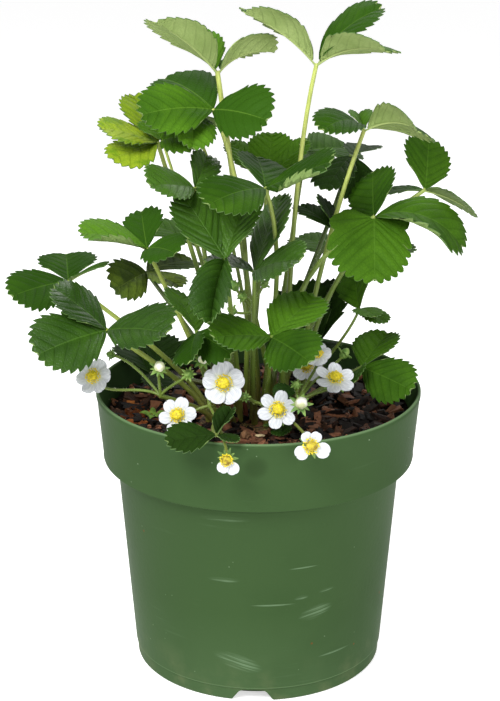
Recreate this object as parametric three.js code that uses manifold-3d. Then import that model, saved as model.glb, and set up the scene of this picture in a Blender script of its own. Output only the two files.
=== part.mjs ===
// A strawberry plant in flower, standing in a round green nursery pot.
// Millimetres, +Z up. The origin is the middle of the pot's flat foot, and -Y is the front.

import * as THREE from 'three';
import { mergeVertices } from 'three/addons/utils/BufferGeometryUtils.js';
import Module from 'manifold-3d';

const wasm = await Module();
wasm.setup();

// Driving sizes of the pot, a standard round pot of 165 mm across its rim
const POT = {
  height: 146,
  rimRadius: 82.5,
  collarFoot: 109.7,
  collarFootRadius: 79.4,
  bodyTopRadius: 72.7,
  footRadius: 63.6,
  wall: 1.6,
  floor: 2.2,
  footRing: 7,
  recess: 1,
  padRadius: 14,
  partingHeight: 6.8,
  partingStep: 0.35,
  sides: 36,
};
const NOTCH = { count: 3, topWidth: 10.5, footWidth: 19.6, height: 4.8, depth: 13, turn: -90 };

// Clearance between pieces that touch on the real plant
const GAP = 0.3;

const SOIL = { level: 131, relief: 1.3, sides: 24, rings: [0.98, 0.76, 0.52], base: 2.5 };
const CHIPS = { count: 16, length: [8, 17], width: [4, 7], thickness: [2, 3.4], seed: 11 };

// The crown is four short knobs grown together. Each has a ledge round a hub, and the stalks
// stand on the ledge.
const CROWN = {
  knobs: { frontLeft: [-17, -16], frontRight: [5, -18], rearLeft: [-8, 6], rearRight: [14, 4] },
  radius: 13,
  ledge: 133,
  hubRadius: 5.2,
  hubTop: 137.5,
  foot: 118,
  standRing: 8.4,
  sides: 8,
};

const BLADE = { thickness: 0.7, widthRatio: 0.86, footWidth: 1.1, teeth: 4, shortLength: 32 };
const STALK = { sides: 4, steps: 4, foot: 2 };
const PETAL = { thickness: 0.8, perFlower: 5, notch: 0.5, eye: 0.34 };
const CALYX = { lift: -1.1, thickness: 0.8 };
const TRUSS = { stalk: 1.2, branch: 0.8, steps: 3, neck: 10 };

const COLOURS = {
  pot: 0x44603a,
  soil: 0x2a1a12,
  crown: 0x5d4a2c,
  leaf: 0x3b6b20,
  youngLeaf: 0x8aa82e,
  darkLeaf: 0x2b4a1c,
  stalk: 0x86994a,
  petal: 0xebebee,
  centre: 0xd9c01c,
};

const UP = new THREE.Vector3(0, 0, 1);
const degrees = THREE.MathUtils.degToRad;

const plant = new THREE.Group();

function addMesh(name, geometry, colour, roughness) {
  const material = new THREE.MeshStandardMaterial({ color: colour, roughness, metalness: 0 });
  const mesh = new THREE.Mesh(geometry, material);
  mesh.name = name;
  plant.add(mesh);
}

// Turns a closed geometry into a solid that can be joined or cut
function solidFrom(geometry) {
  const bare = geometry.clone();
  bare.deleteAttribute('normal');
  bare.deleteAttribute('uv');
  const merged = mergeVertices(bare, 1e-4);
  return new wasm.Manifold(new wasm.Mesh({
    numProp: 3,
    vertProperties: new Float32Array(merged.attributes.position.array),
    triVerts: new Uint32Array(merged.index.array),
  }));
}

function geometryFrom(solid) {
  const mesh = solid.getMesh();
  const geometry = new THREE.BufferGeometry();
  geometry.setAttribute('position', new THREE.BufferAttribute(new Float32Array(mesh.vertProperties), 3));
  geometry.setIndex(new THREE.BufferAttribute(new Uint32Array(mesh.triVerts), 1));
  geometry.computeVertexNormals();
  return geometry;
}

function joined(solids) {
  return solids.reduce((sum, next) => sum.add(next));
}

// A closed geometry from points and triangles
function closedGeometry(points, triangles) {
  const geometry = new THREE.BufferGeometry();
  geometry.setAttribute('position', new THREE.Float32BufferAttribute(points.flatMap((p) => p.toArray()), 3));
  geometry.setIndex(triangles.flat());
  return geometry;
}

function direction(compass, pitch) {
  const level = Math.cos(degrees(pitch));
  return new THREE.Vector3(
    level * Math.cos(degrees(compass)),
    level * Math.sin(degrees(compass)),
    Math.sin(degrees(pitch)),
  );
}

// A repeatable draw between 0 and 1
function drawFrom(seed) {
  let state = seed;
  return () => {
    state = (state * 1664525 + 1013904223) % 4294967296;
    return state / 4294967296;
  };
}

function lathe(profile, sides) {
  const outline = profile.map(([radius, height]) => new THREE.Vector2(radius, height));
  const geometry = new THREE.LatheGeometry(outline, sides);
  geometry.rotateX(Math.PI / 2);
  return geometry;
}

// Pot

function outerRadiusAt(height) {
  const slope = (POT.bodyTopRadius - POT.footRadius) / POT.collarFoot;
  return POT.footRadius + slope * height;
}

function notchCutter(turn, extra) {
  const shape = new THREE.Shape([
    new THREE.Vector2(-NOTCH.footWidth / 2 - extra, -1),
    new THREE.Vector2(NOTCH.footWidth / 2 + extra, -1),
    new THREE.Vector2(NOTCH.topWidth / 2 + extra, NOTCH.height + extra),
    new THREE.Vector2(-NOTCH.topWidth / 2 - extra, NOTCH.height + extra),
  ]);
  const cutter = new THREE.ExtrudeGeometry(shape, { depth: NOTCH.depth + 6 + extra, bevelEnabled: false });
  cutter.rotateX(Math.PI / 2);
  cutter.rotateZ(Math.PI / 2);
  cutter.translate(POT.footRadius - NOTCH.depth - extra, 0, 0);
  cutter.rotateZ(degrees(turn));
  return solidFrom(cutter);
}

function notchTurns() {
  return Array.from({ length: NOTCH.count }, (_, k) => NOTCH.turn + (k * 360) / NOTCH.count);
}

function makePot() {
  const { wall, height, rimRadius } = POT;
  const parting = outerRadiusAt(POT.partingHeight);
  const profile = [
    [0, 0],
    [POT.padRadius, 0],
    [POT.padRadius + 1, POT.recess],
    [POT.footRadius - POT.footRing, POT.recess],
    [POT.footRadius - POT.footRing + 1, 0],
    [POT.footRadius, 0],
    [parting, POT.partingHeight],
    [parting + POT.partingStep, POT.partingHeight + 0.5],
    [POT.bodyTopRadius, POT.collarFoot],
    [POT.collarFootRadius - 0.6, POT.collarFoot],
    [POT.collarFootRadius, POT.collarFoot + 0.6],
    [rimRadius, height - 1.2],
    [rimRadius - 0.8, height],
    [rimRadius - wall, height - 0.6],
    [POT.collarFootRadius - wall, POT.collarFoot + wall + 0.6],
    [POT.bodyTopRadius - wall, POT.collarFoot + wall],
    [POT.footRadius - wall, POT.floor],
    [0, POT.floor],
  ];
  let pot = solidFrom(lathe(profile, POT.sides));
  for (const turn of notchTurns()) {
    pot = pot.subtract(notchCutter(turn, 0));
  }
  addMesh('pot', geometryFrom(pot), COLOURS.pot, 0.45);
}

// Soil

function soilHeight(x, y) {
  const swell = Math.sin(x * 0.13 + 0.6) * Math.cos(y * 0.11 - 0.4);
  const crumb = Math.sin(x * 0.37 + y * 0.23) * 0.6;
  return SOIL.level + SOIL.relief * (swell + crumb);
}

function innerRadiusAt(height) {
  if (height < POT.collarFoot + POT.wall) {
    return outerRadiusAt(height) - POT.wall - 2 * GAP;
  }
  const rise = (height - POT.collarFoot) / (POT.height - POT.collarFoot);
  const outer = POT.collarFootRadius + (POT.rimRadius - POT.collarFootRadius) * rise;
  return outer - POT.wall - 2 * GAP;
}

function makeSoilBody() {
  const ledge = POT.collarFoot + POT.wall + 0.6 + GAP;
  const walls = [
    [innerRadiusAt(SOIL.base), SOIL.base],
    [POT.bodyTopRadius - POT.wall - 2 * GAP, ledge],
    [innerRadiusAt(ledge + 0.4), ledge + 0.4],
  ];
  const points = [new THREE.Vector3(0, 0, SOIL.base)];
  const triangles = [];
  const ringCount = walls.length + SOIL.rings.length;
  const around = (radius, k) => {
    const angle = (k / SOIL.sides) * 2 * Math.PI;
    return [radius * Math.cos(angle), radius * Math.sin(angle)];
  };
  for (const [radius, height] of walls) {
    for (let k = 0; k < SOIL.sides; k++) {
      const [x, y] = around(radius, k);
      points.push(new THREE.Vector3(x, y, height));
    }
  }
  const topRadius = innerRadiusAt(SOIL.level);
  for (const share of SOIL.rings) {
    for (let k = 0; k < SOIL.sides; k++) {
      const [x, y] = around(topRadius * share, k);
      points.push(new THREE.Vector3(x, y, soilHeight(x, y)));
    }
  }
  points.push(new THREE.Vector3(0, 0, soilHeight(0, 0)));
  const last = points.length - 1;
  const at = (ring, k) => 1 + ring * SOIL.sides + (k % SOIL.sides);
  for (let k = 0; k < SOIL.sides; k++) {
    triangles.push([0, at(0, k + 1), at(0, k)]);
    for (let ring = 0; ring < ringCount - 1; ring++) {
      triangles.push([at(ring, k), at(ring, k + 1), at(ring + 1, k + 1)]);
      triangles.push([at(ring, k), at(ring + 1, k + 1), at(ring + 1, k)]);
    }
    triangles.push([at(ringCount - 1, k), at(ringCount - 1, k + 1), last]);
  }
  return solidFrom(closedGeometry(points, triangles));
}

function makeChips() {
  const draw = drawFrom(CHIPS.seed);
  const between = ([low, high]) => low + (high - low) * draw();
  const chips = [];
  const reach = innerRadiusAt(SOIL.level) - 11;
  const bare = 34;
  while (chips.length < CHIPS.count) {
    const radius = bare + (reach - bare) * Math.sqrt(draw());
    const angle = draw() * 2 * Math.PI;
    const x = radius * Math.cos(angle);
    const y = radius * Math.sin(angle);
    const chip = new THREE.BoxGeometry(between(CHIPS.length), between(CHIPS.width), between(CHIPS.thickness));
    chip.rotateX((draw() - 0.5) * 0.9);
    chip.rotateY((draw() - 0.5) * 0.5);
    chip.rotateZ(draw() * Math.PI);
    chip.translate(x, y, soilHeight(x, y) + 0.4);
    chips.push(solidFrom(chip));
  }
  return chips;
}

function crownKnob([x, y], extra) {
  const { radius, ledge, hubRadius, hubTop, foot, sides } = CROWN;
  const profile = extra > 0
    ? [[0, foot - extra], [radius + extra, foot - extra], [radius + extra, ledge + 12], [0, ledge + 12]]
    : [
      [0, foot],
      [radius - 2, foot],
      [radius, foot + 4],
      [radius, ledge],
      [hubRadius, ledge],
      [0, hubTop],
    ];
  const knob = lathe(profile, sides);
  knob.translate(x, y, 0);
  return solidFrom(knob);
}

function makeSoil() {
  let soil = joined([makeSoilBody(), ...makeChips()]);
  for (const place of Object.values(CROWN.knobs)) {
    soil = soil.subtract(crownKnob(place, GAP));
  }
  for (const turn of notchTurns()) {
    soil = soil.subtract(notchCutter(turn, GAP));
  }
  addMesh('soil', geometryFrom(soil), COLOURS.soil, 0.95);
}

function makeCrown() {
  const crown = joined(Object.values(CROWN.knobs).map((place) => crownKnob(place, 0)));
  addMesh('crown', geometryFrom(crown), COLOURS.crown, 0.85);
}

// Stalks

// A closed tapering tube along a curve, with its foot square to the start of the curve
function taperedTube(curve, footRadius, tipRadius, sides = STALK.sides, steps = STALK.steps) {
  const frames = curve.computeFrenetFrames(steps, false);
  const points = [];
  const triangles = [];
  for (let step = 0; step <= steps; step++) {
    const share = step / steps;
    const middle = curve.getPointAt(share);
    const radius = footRadius + (tipRadius - footRadius) * Math.min(1, share * 2.5);
    for (let k = 0; k < sides; k++) {
      const angle = (k / sides) * 2 * Math.PI;
      points.push(middle.clone()
        .addScaledVector(frames.normals[step], radius * Math.cos(angle))
        .addScaledVector(frames.binormals[step], radius * Math.sin(angle)));
    }
  }
  const at = (step, k) => step * sides + (k % sides);
  for (let step = 0; step < steps; step++) {
    for (let k = 0; k < sides; k++) {
      triangles.push([at(step, k), at(step, k + 1), at(step + 1, k + 1)]);
      triangles.push([at(step, k), at(step + 1, k + 1), at(step + 1, k)]);
    }
  }
  for (let k = 1; k < sides - 1; k++) {
    triangles.push([at(0, 0), at(0, k + 1), at(0, k)]);
    triangles.push([at(steps, 0), at(steps, k), at(steps, k + 1)]);
  }
  return solidFrom(closedGeometry(points, triangles));
}

function standOn(knob, compass) {
  const [x, y] = CROWN.knobs[knob];
  return new THREE.Vector3(
    x + CROWN.standRing * Math.cos(degrees(compass)),
    y + CROWN.standRing * Math.sin(degrees(compass)),
    CROWN.ledge + GAP,
  );
}

// A stalk leaves the crown upright, leans to its end and may bow aside on the way
function stalkCurve(foot, end, bow, overrun) {
  const span = end.clone().sub(foot);
  const reach = span.length();
  const aside = new THREE.Vector3(bow[0], bow[1], 0);
  const first = foot.clone().addScaledVector(UP, reach * 0.2);
  const second = foot.clone().addScaledVector(span, 0.65)
    .addScaledVector(UP, reach * 0.05)
    .add(aside);
  const last = end.clone().addScaledVector(end.clone().sub(second).normalize(), overrun);
  return new THREE.CubicBezierCurve3(foot, first, second, last);
}

// Leaves

function outlineAt(share, length) {
  const along = Math.sin((share * Math.PI) / 2);
  const half = (BLADE.widthRatio * length) / 2;
  return [along, half * Math.sin(Math.PI * along ** 1.15) ** 0.95];
}

// One side of a leaflet's toothed edge, as pairs of distance along and half width
function toothedEdge(length, teeth, stem) {
  const start = 0.17;
  const pitch = (1 - start) / (teeth + 0.55);
  const toothHeight = 0.06;
  const edge = stem > 0 ? [[0, BLADE.footWidth / 2], [stem, BLADE.footWidth / 2]] : [];
  const put = (share, grow) => {
    const [along, half] = outlineAt(share, length);
    edge.push([stem + (along + grow) * (1 - stem), half * (1 + grow * 0.8) + grow * length * 0.6]);
  };
  put(start, 0);
  for (let k = 0; k < teeth; k++) {
    put(start + pitch * (k + 0.72), toothHeight * (1 - (0.5 * k) / teeth));
    put(start + pitch * (k + 1), -0.015);
  }
  return edge;
}

// A leaflet: an arched, folded blade with a toothed edge, the same thickness all over
function leafletSolid(base, stem, [compass, pitch, length, roll = 0, droop = 25, fold = 14]) {
  const teeth = teethOn(length);
  const chord = direction(compass, pitch);
  const side = UP.clone().cross(chord).normalize().applyAxisAngle(chord, degrees(roll));
  const normal = chord.clone().cross(side);
  const bend = degrees(Math.max(droop, 1));
  const arc = length / (2 * Math.sin(bend / 2));
  const place = (along, across) => {
    const turn = bend * (along - 0.5);
    const forward = length / 2 + arc * Math.sin(turn);
    const lift = arc * (Math.cos(turn) - Math.cos(bend / 2));
    const curl = 0.3 * (across * across) / length;
    return base.clone()
      .addScaledVector(chord, forward)
      .addScaledVector(side, across * Math.cos(degrees(fold)))
      .addScaledVector(normal, lift + Math.abs(across) * Math.sin(degrees(fold)) - curl);
  };
  const edge = toothedEdge(length, teeth, stem);
  const rib = [0, ...Array.from({ length: teeth }, (_, k) => stem + (1 - stem) * (k + 0.7) / (teeth + 0.6))];
  const flat = [];
  const faces = [];
  const ribIndex = rib.map((along) => flat.push(place(along, 0)) - 1);
  const tip = flat.push(place(1, 0)) - 1;
  const zip = (edgeIndex, turnRight) => {
    let a = 0;
    let b = 0;
    const ribs = [...ribIndex, tip];
    const edges = [...edgeIndex, tip];
    const ribAlong = [...rib, 1];
    const edgeAlong = [...edge.map(([along]) => along), 1];
    while (a < ribs.length - 2 || b < edges.length - 2) {
      const stepRib = b >= edges.length - 2 || (a < ribs.length - 2 && ribAlong[a + 1] + 0.08 < edgeAlong[b + 1]);
      const face = stepRib ? [ribs[a], edges[b], ribs[a + 1]] : [ribs[a], edges[b], edges[b + 1]];
      faces.push(turnRight ? face : face.reverse());
      if (stepRib) {
        a++;
      } else {
        b++;
      }
    }
    const end = [ribs[a], edges[b], tip];
    faces.push(turnRight ? end : end.reverse());
  };
  const rightEdge = edge.map(([along, half]) => flat.push(place(along, -half)) - 1);
  const leftEdge = edge.map(([along, half]) => flat.push(place(along, half)) - 1);
  zip(rightEdge, true);
  zip(leftEdge, false);
  const rim = [...rightEdge, tip, ...leftEdge.reverse(), ribIndex[0]];
  return thickened(flat, faces, rim);
}

// A sheet of triangles becomes a closed plate, half its thickness to each side
function thickened(flat, faces, rim, thickness = BLADE.thickness) {
  const normals = flat.map(() => new THREE.Vector3());
  for (const [a, b, c] of faces) {
    const first = flat[b].clone().sub(flat[a]);
    const second = flat[c].clone().sub(flat[a]);
    const normal = first.cross(second);
    for (const corner of [a, b, c]) {
      normals[corner].add(normal);
    }
  }
  normals.forEach((normal) => normal.normalize());
  const upper = flat.map((p, k) => p.clone().addScaledVector(normals[k], thickness / 2));
  const lower = flat.map((p, k) => p.clone().addScaledVector(normals[k], -thickness / 2));
  const count = flat.length;
  const triangles = [];
  for (const [a, b, c] of faces) {
    triangles.push([a, b, c]);
    triangles.push([c + count, b + count, a + count]);
  }
  rim.forEach((from, k) => {
    const to = rim[(k + 1) % rim.length];
    triangles.push([from + count, to + count, to]);
    triangles.push([from + count, to, from]);
  });
  return solidFrom(closedGeometry([...upper, ...lower], triangles));
}

function teethOn(length) {
  return length > BLADE.shortLength ? BLADE.teeth : BLADE.teeth - 1;
}

function makeLeaf({ name, foot, joint, stalk = 1.2, bow = [0, 0], stem = 0, colour = 'leaf', blades }) {
  const end = new THREE.Vector3(...joint);
  const curve = stalkCurve(standOn(...foot), end, bow, 1.2);
  const pieces = [taperedTube(curve, Math.max(stalk, STALK.foot), stalk)];
  for (const blade of blades) {
    const start = end.clone().addScaledVector(direction(blade[0], blade[1]), stalk * 0.4);
    pieces.push(leafletSolid(start, stem, blade));
  }
  addMesh(name, geometryFrom(joined(pieces)), COLOURS[colour], 0.55);
}

// Each leaf: the knob it grows from and the compass point of its foot there, the joint of its
// three leaflets, and per leaflet its compass point, pitch, length, roll, droop and fold.
const LEAVES = [
  { name: 'leaf_top_right', foot: ['rearRight', 270], joint: [28, 9, 308], stem: 0.16,
    bow: [-7, 5],
    blades: [[-150, 30, 44, 12, 35, 45], [5, 38, 42, 15, 45], [-35, 12, 43, -12, 50, 40]] },
  { name: 'leaf_top_left', foot: ['rearLeft', 20], joint: [-20, 5, 305], stalk: 1.4, stem: 0.16,
    blades: [[-145, 40, 44, 8, 30, 40], [30, 12, 36, -40, 60, 20], [120, 35, 28, 0, 20]] },
  { name: 'leaf_upper_left', foot: ['rearLeft', 280], joint: [-22, -2, 288], bow: [17, -11],
    blades: [[-155, 0, 39, -35, 35], [140, 15, 36, -10, 30], [-35, -5, 33, 30, 35]] },
  { name: 'leaf_young_yellow', foot: ['rearLeft', 210], joint: [-50, 15, 268], colour: 'youngLeaf',
    blades: [[-160, 20, 32, -10, 10], [-120, -15, 30, 10, 20], [130, 35, 32, 0, 10]] },
  { name: 'leaf_upper_left_small', foot: ['rearLeft', 245], joint: [-47, 5, 271], stalk: 0.8,
    blades: [[-40, 0, 27, 15, 60], [150, 25, 24, 0, 20], [55, 15, 24, 0, 20]] },
  { name: 'leaf_upper_left_under', foot: ['rearLeft', 320], joint: [-34, 6, 284], stalk: 0.9,
    bow: [9, 12],
    blades: [[-80, -20, 32, 0, 50], [150, 0, 26, 0, 30], [45, -25, 28, 0, 30]] },
  { name: 'leaf_dark_left', foot: ['frontLeft', 95], joint: [-31, -14, 252], colour: 'darkLeaf',
    blades: [[-140, 5, 32, -30, 20], [60, 15, 24, 10, 20], [-20, -10, 26, 0, 30]] },
  { name: 'leaf_centre_broad', foot: ['frontRight', 110], joint: [3, -26, 255], bow: [35, -8],
    blades: [[-30, 15, 41, 25, 20], [-150, -5, 37, -20, 35], [115, 15, 30, 0, 20]] },
  { name: 'leaf_front_glossy', foot: ['frontLeft', 340], joint: [-16, -38, 223],
    blades: [[145, 35, 39, -15, 20], [60, 45, 35, 0, 15], [-105, -35, 38, 0, 25, 40]] },
  { name: 'leaf_centre_pleated', foot: ['frontRight', 165], joint: [-2, -24, 213],
    blades: [[-45, 12, 33, 25, 25], [55, 30, 36, 0, 15], [160, 10, 24, 0, 20]] },
  { name: 'leaf_front_centre', foot: ['frontRight', 260], joint: [6, -50, 188],
    blades: [[40, 25, 35, 0, 15], [-50, -8, 33, 20, 20], [-150, 3, 34, -20, 20]] },
  { name: 'leaf_front_left', foot: ['frontLeft', 200], joint: [-74, -30, 185], stalk: 1.3,
    blades: [[155, 28, 38, 0, 20], [-145, -12, 40, -30, 20], [-25, 5, 37, 25, 20]] },
  { name: 'leaf_far_left', foot: ['frontLeft', 165], joint: [-95, 0, 201],
    blades: [[-145, 2, 34, -28, 20], [100, 12, 33, 0, 30], [-30, 10, 28, 0, 20]] },
  { name: 'leaf_mid_left', foot: ['frontLeft', 130], joint: [-55, -5, 219],
    blades: [[-155, 12, 35, -20, 30], [88, 30, 29, 0, 15], [-40, 3, 26, 15, 25]] },
  { name: 'leaf_olive_left', foot: ['rearLeft', 175], joint: [-57, 19, 200], colour: 'darkLeaf',
    blades: [[-150, 5, 26, -20, 20], [40, -5, 30, 0, 20], [-70, -10, 26, 0, 20]] },
  { name: 'leaf_low_left', foot: ['frontLeft', 30], joint: [-30, -33, 185],
    blades: [[115, 25, 30, 0, 15], [-100, -15, 27, 0, 20], [-40, 0, 28, 20, 20]] },
  { name: 'leaf_upper_right', foot: ['rearRight', 310], joint: [52, 12, 275], stem: 0.1,
    bow: [-5, -5],
    blades: [[-135, 10, 34, 20, 80], [-45, 5, 40, -35, 50], [95, 10, 20, 0, 20, 40]] },
  { name: 'leaf_right_broad', foot: ['frontRight', 20], joint: [56, -15, 238], stalk: 1.3,
    bow: [-10, -4],
    blades: [[90, 30, 33, 0, 15], [-95, -30, 40, 0, 20, 8], [-30, -10, 48, 8, 45]] },
  { name: 'leaf_far_right', foot: ['rearRight', 345], joint: [83, 15, 244], bow: [0, -2],
    blades: [[85, 45, 32, 0, 15], [-35, -15, 30, -30, 25], [160, -10, 22, 0, 20]] },
  { name: 'leaf_young_back', foot: ['rearLeft', 60], joint: [5, 31, 245],
    blades: [[145, 35, 28, 0, 10], [85, 40, 29, 0, 10], [25, 40, 28, 0, 10]] },
  { name: 'leaf_back_upper', foot: ['rearRight', 140], joint: [24, 49, 256],
    blades: [[35, -2, 40, 15, 20], [120, 0, 28, 0, 20], [-70, -15, 24, 0, 20]] },
  { name: 'leaf_back_shaded', foot: ['rearRight', 180], joint: [47, 34, 257], colour: 'darkLeaf',
    bow: [5, 5],
    blades: [[-135, -15, 30, 0, 20], [-75, -30, 30, 0, 20], [65, 0, 24, 0, 20]] },
  { name: 'leaf_low_right', foot: ['frontRight', 340], joint: [52, -5, 157],
    blades: [[50, 20, 31, 0, 15], [-35, -8, 33, 30, 20], [-110, -5, 20, 0, 20]] },
  { name: 'leaf_mid_right', foot: ['rearRight', 20], joint: [51, 7, 184], stalk: 0.8, bow: [5, -5],
    blades: [[115, 40, 30, -20, 20], [-70, 5, 18, 0, 30], [-10, -10, 18, 0, 20]] },
  { name: 'leaf_back_low_right', foot: ['rearRight', 65], joint: [31, 35, 155], colour: 'darkLeaf',
    blades: [[65, 38, 32, 0, 15], [140, 38, 32, 0, 15], [-75, 15, 30, 0, 20]] },
  { name: 'leaf_rim_front', foot: ['frontLeft', 305], joint: [-20, -80, 150], stalk: 1,
    bow: [-10, -2],
    blades: [[-165, -10, 27, -20, 20], [70, 45, 18, 0, 10], [-30, -5, 14, 0, 20]] },
  { name: 'leaf_right_small', foot: ['frontRight', 60], joint: [38, 8, 225], stalk: 0.8,
    bow: [-10, -3], colour: 'darkLeaf', blades: [[150, 15, 26, 0, 20], [100, 35, 24, 0, 10], [50, -5, 22, 0, 20]] },
  { name: 'leaf_back_low_left', foot: ['rearLeft', 140], joint: [-56, 28, 142], colour: 'darkLeaf',
    blades: [[135, 25, 28, 0, 20], [75, 30, 26, 0, 20], [-70, 0, 22, 0, 20]] },
  { name: 'leaf_rear_left', foot: ['rearLeft', 100], joint: [-32, 50, 205],
    blades: [[155, 15, 32, 0, 25], [90, 5, 36, 0, 25], [25, 10, 32, 0, 25]] },
  { name: 'leaf_rear_right', foot: ['rearRight', 100], joint: [48, 55, 196],
    blades: [[140, 10, 34, 0, 25], [70, 5, 36, 0, 25], [0, 10, 34, 0, 25]] },
];

// Flowers

// The plane of a flower: its centre and three directions, the last the way it faces
function flowerFrame({ at, face }) {
  const facing = direction(...face);
  const side = UP.clone().cross(facing).normalize();
  const top = facing.clone().cross(side);
  const centre = new THREE.Vector3(...at);
  const place = (radius, angle, lift) => centre.clone()
    .addScaledVector(side, radius * Math.cos(angle))
    .addScaledVector(top, radius * Math.sin(angle))
    .addScaledVector(facing, lift);
  return { facing, place };
}

// The ring of white petals, in one piece where the petals meet round the eye
function petalsSolid(flower) {
  const { place } = flowerFrame(flower);
  const { radius, petals = PETAL.perFlower, cup = 0.25 } = flower;
  const step = (2 * Math.PI) / petals;
  const lift = (reach) => cup * radius * (reach - PETAL.notch) ** 2;
  const outline = [[-0.5, PETAL.notch], [-0.44, 0.82], [-0.2, 1], [0.2, 1], [0.44, 0.82]];
  const flat = [];
  for (let petal = 0; petal < petals; petal++) {
    for (const [turn, reach] of outline) {
      flat.push(place(radius * reach, (petal + turn + 0.25) * step, lift(reach)));
    }
  }
  const rim = flat.map((_, k) => k);
  const faces = [];
  const middle = flat.push(place(0, 0, 0)) - 1;
  for (let petal = 0; petal < petals; petal++) {
    const first = petal * outline.length;
    const next = (first + outline.length) % rim.length;
    faces.push([first, first + 1, first + 2], [first, first + 2, next]);
    faces.push([first + 2, first + 3, next], [first + 3, first + 4, next]);
    faces.push([middle, first, next]);
  }
  return thickened(flat, faces, rim, PETAL.thickness);
}

// A closed shape of rings round the way a flower faces, each ring [radius, lift, spread], with
// every second point moved out by its spread
function ringedSolid(flower, rings, sides) {
  const { place } = flowerFrame(flower);
  const points = [place(0, 0, rings[0][1])];
  for (const [radius, lift, spread = 0] of rings) {
    for (let k = 0; k < sides; k++) {
      const out = k % 2 === 0 ? spread : 0;
      points.push(place(radius + out, (k / sides) * 2 * Math.PI, lift + out * 0.3));
    }
  }
  const tip = points.push(place(0, 0, rings[rings.length - 1][1] + 0.5)) - 1;
  const at = (ring, k) => 1 + ring * sides + (k % sides);
  const triangles = [];
  for (let k = 0; k < sides; k++) {
    triangles.push([0, at(0, k + 1), at(0, k)]);
    for (let ring = 0; ring < rings.length - 1; ring++) {
      triangles.push([at(ring, k), at(ring, k + 1), at(ring + 1, k + 1)]);
      triangles.push([at(ring, k), at(ring + 1, k + 1), at(ring + 1, k)]);
    }
    triangles.push([at(rings.length - 1, k), at(rings.length - 1, k + 1), tip]);
  }
  return solidFrom(closedGeometry(points, triangles));
}

function centreSolid(flower) {
  const eye = flower.radius * PETAL.eye;
  const base = PETAL.thickness / 2 + GAP;
  return ringedSolid(flower, [[eye - 0.3, base, 0.5], [eye * 0.7, base + 1.1, 0.3]], 10);
}

// The green star of sepals behind the petals or round a bud
function calyxSolid(flower) {
  const { place } = flowerFrame(flower);
  const reach = flower.kind === 'flower' ? flower.radius * 0.7 : flower.radius * 2;
  const points = PETAL.perFlower * 2;
  const flat = [];
  for (let k = 0; k < points; k++) {
    const radius = k % 2 === 0 ? reach : reach * 0.45;
    flat.push(place(radius, (k / points) * 2 * Math.PI, CALYX.lift));
  }
  const rim = flat.map((_, k) => k);
  const middle = flat.push(place(0, 0, CALYX.lift)) - 1;
  const faces = rim.map((k) => [middle, k, (k + 1) % points]);
  return thickened(flat, faces, rim, CALYX.thickness);
}

const WHITE_BALL = [[0.55, 0], [1, 0.8], [0.75, 1.5]];
const GREEN_BUD = [[0.5, -1], [0.85, 0.4, 0.6]];

function scaledRings(rings, size, base = 0) {
  return rings.map(([radius, lift, spread = 0]) => [radius * size, base + lift * size, spread * size]);
}

function headSolids(head) {
  if (head.kind === 'bud') {
    return [ringedSolid(head, scaledRings(GREEN_BUD, head.radius), 6)];
  }
  return [calyxSolid(head)];
}

function makeTruss({ name, foot, fork, bow = [0, 0], heads }) {
  const end = new THREE.Vector3(...fork);
  const pieces = [taperedTube(stalkCurve(standOn(...foot), end, bow, 0.5), STALK.foot, TRUSS.stalk)];
  for (const head of heads) {
    const { facing, place } = flowerFrame(head);
    const back = place(0, 0, head.kind === 'bud' ? 0 : CALYX.lift);
    const from = head.from ? new THREE.Vector3(...head.from) : end;
    const reach = from.distanceTo(back);
    const leave = from.clone().addScaledVector(back.clone().sub(from), 0.3)
      .addScaledVector(UP, reach * 0.12)
      .add(new THREE.Vector3(...(head.lean ?? [0, 0, 0])));
    const arrive = back.clone().addScaledVector(facing, -Math.min(reach * 0.5, TRUSS.neck));
    const curve = new THREE.CubicBezierCurve3(from, leave, arrive, back);
    pieces.push(taperedTube(curve, TRUSS.branch, TRUSS.branch, STALK.sides, TRUSS.steps));
    pieces.push(...headSolids(head));
    if (head.kind === 'flower') {
      addMesh(`${head.name}_petals`, geometryFrom(petalsSolid(head)), COLOURS.petal, 0.6);
      addMesh(`${head.name}_centre`, geometryFrom(centreSolid(head)), COLOURS.centre, 0.8);
    }
    if (head.kind === 'white') {
      const base = CALYX.lift + CALYX.thickness / 2 + GAP;
      const ball = ringedSolid(head, scaledRings(WHITE_BALL, head.radius, base), 8);
      addMesh(head.name, geometryFrom(ball), COLOURS.petal, 0.6);
    }
  }
  addMesh(name, geometryFrom(joined(pieces)), COLOURS.stalk, 0.6);
}

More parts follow.
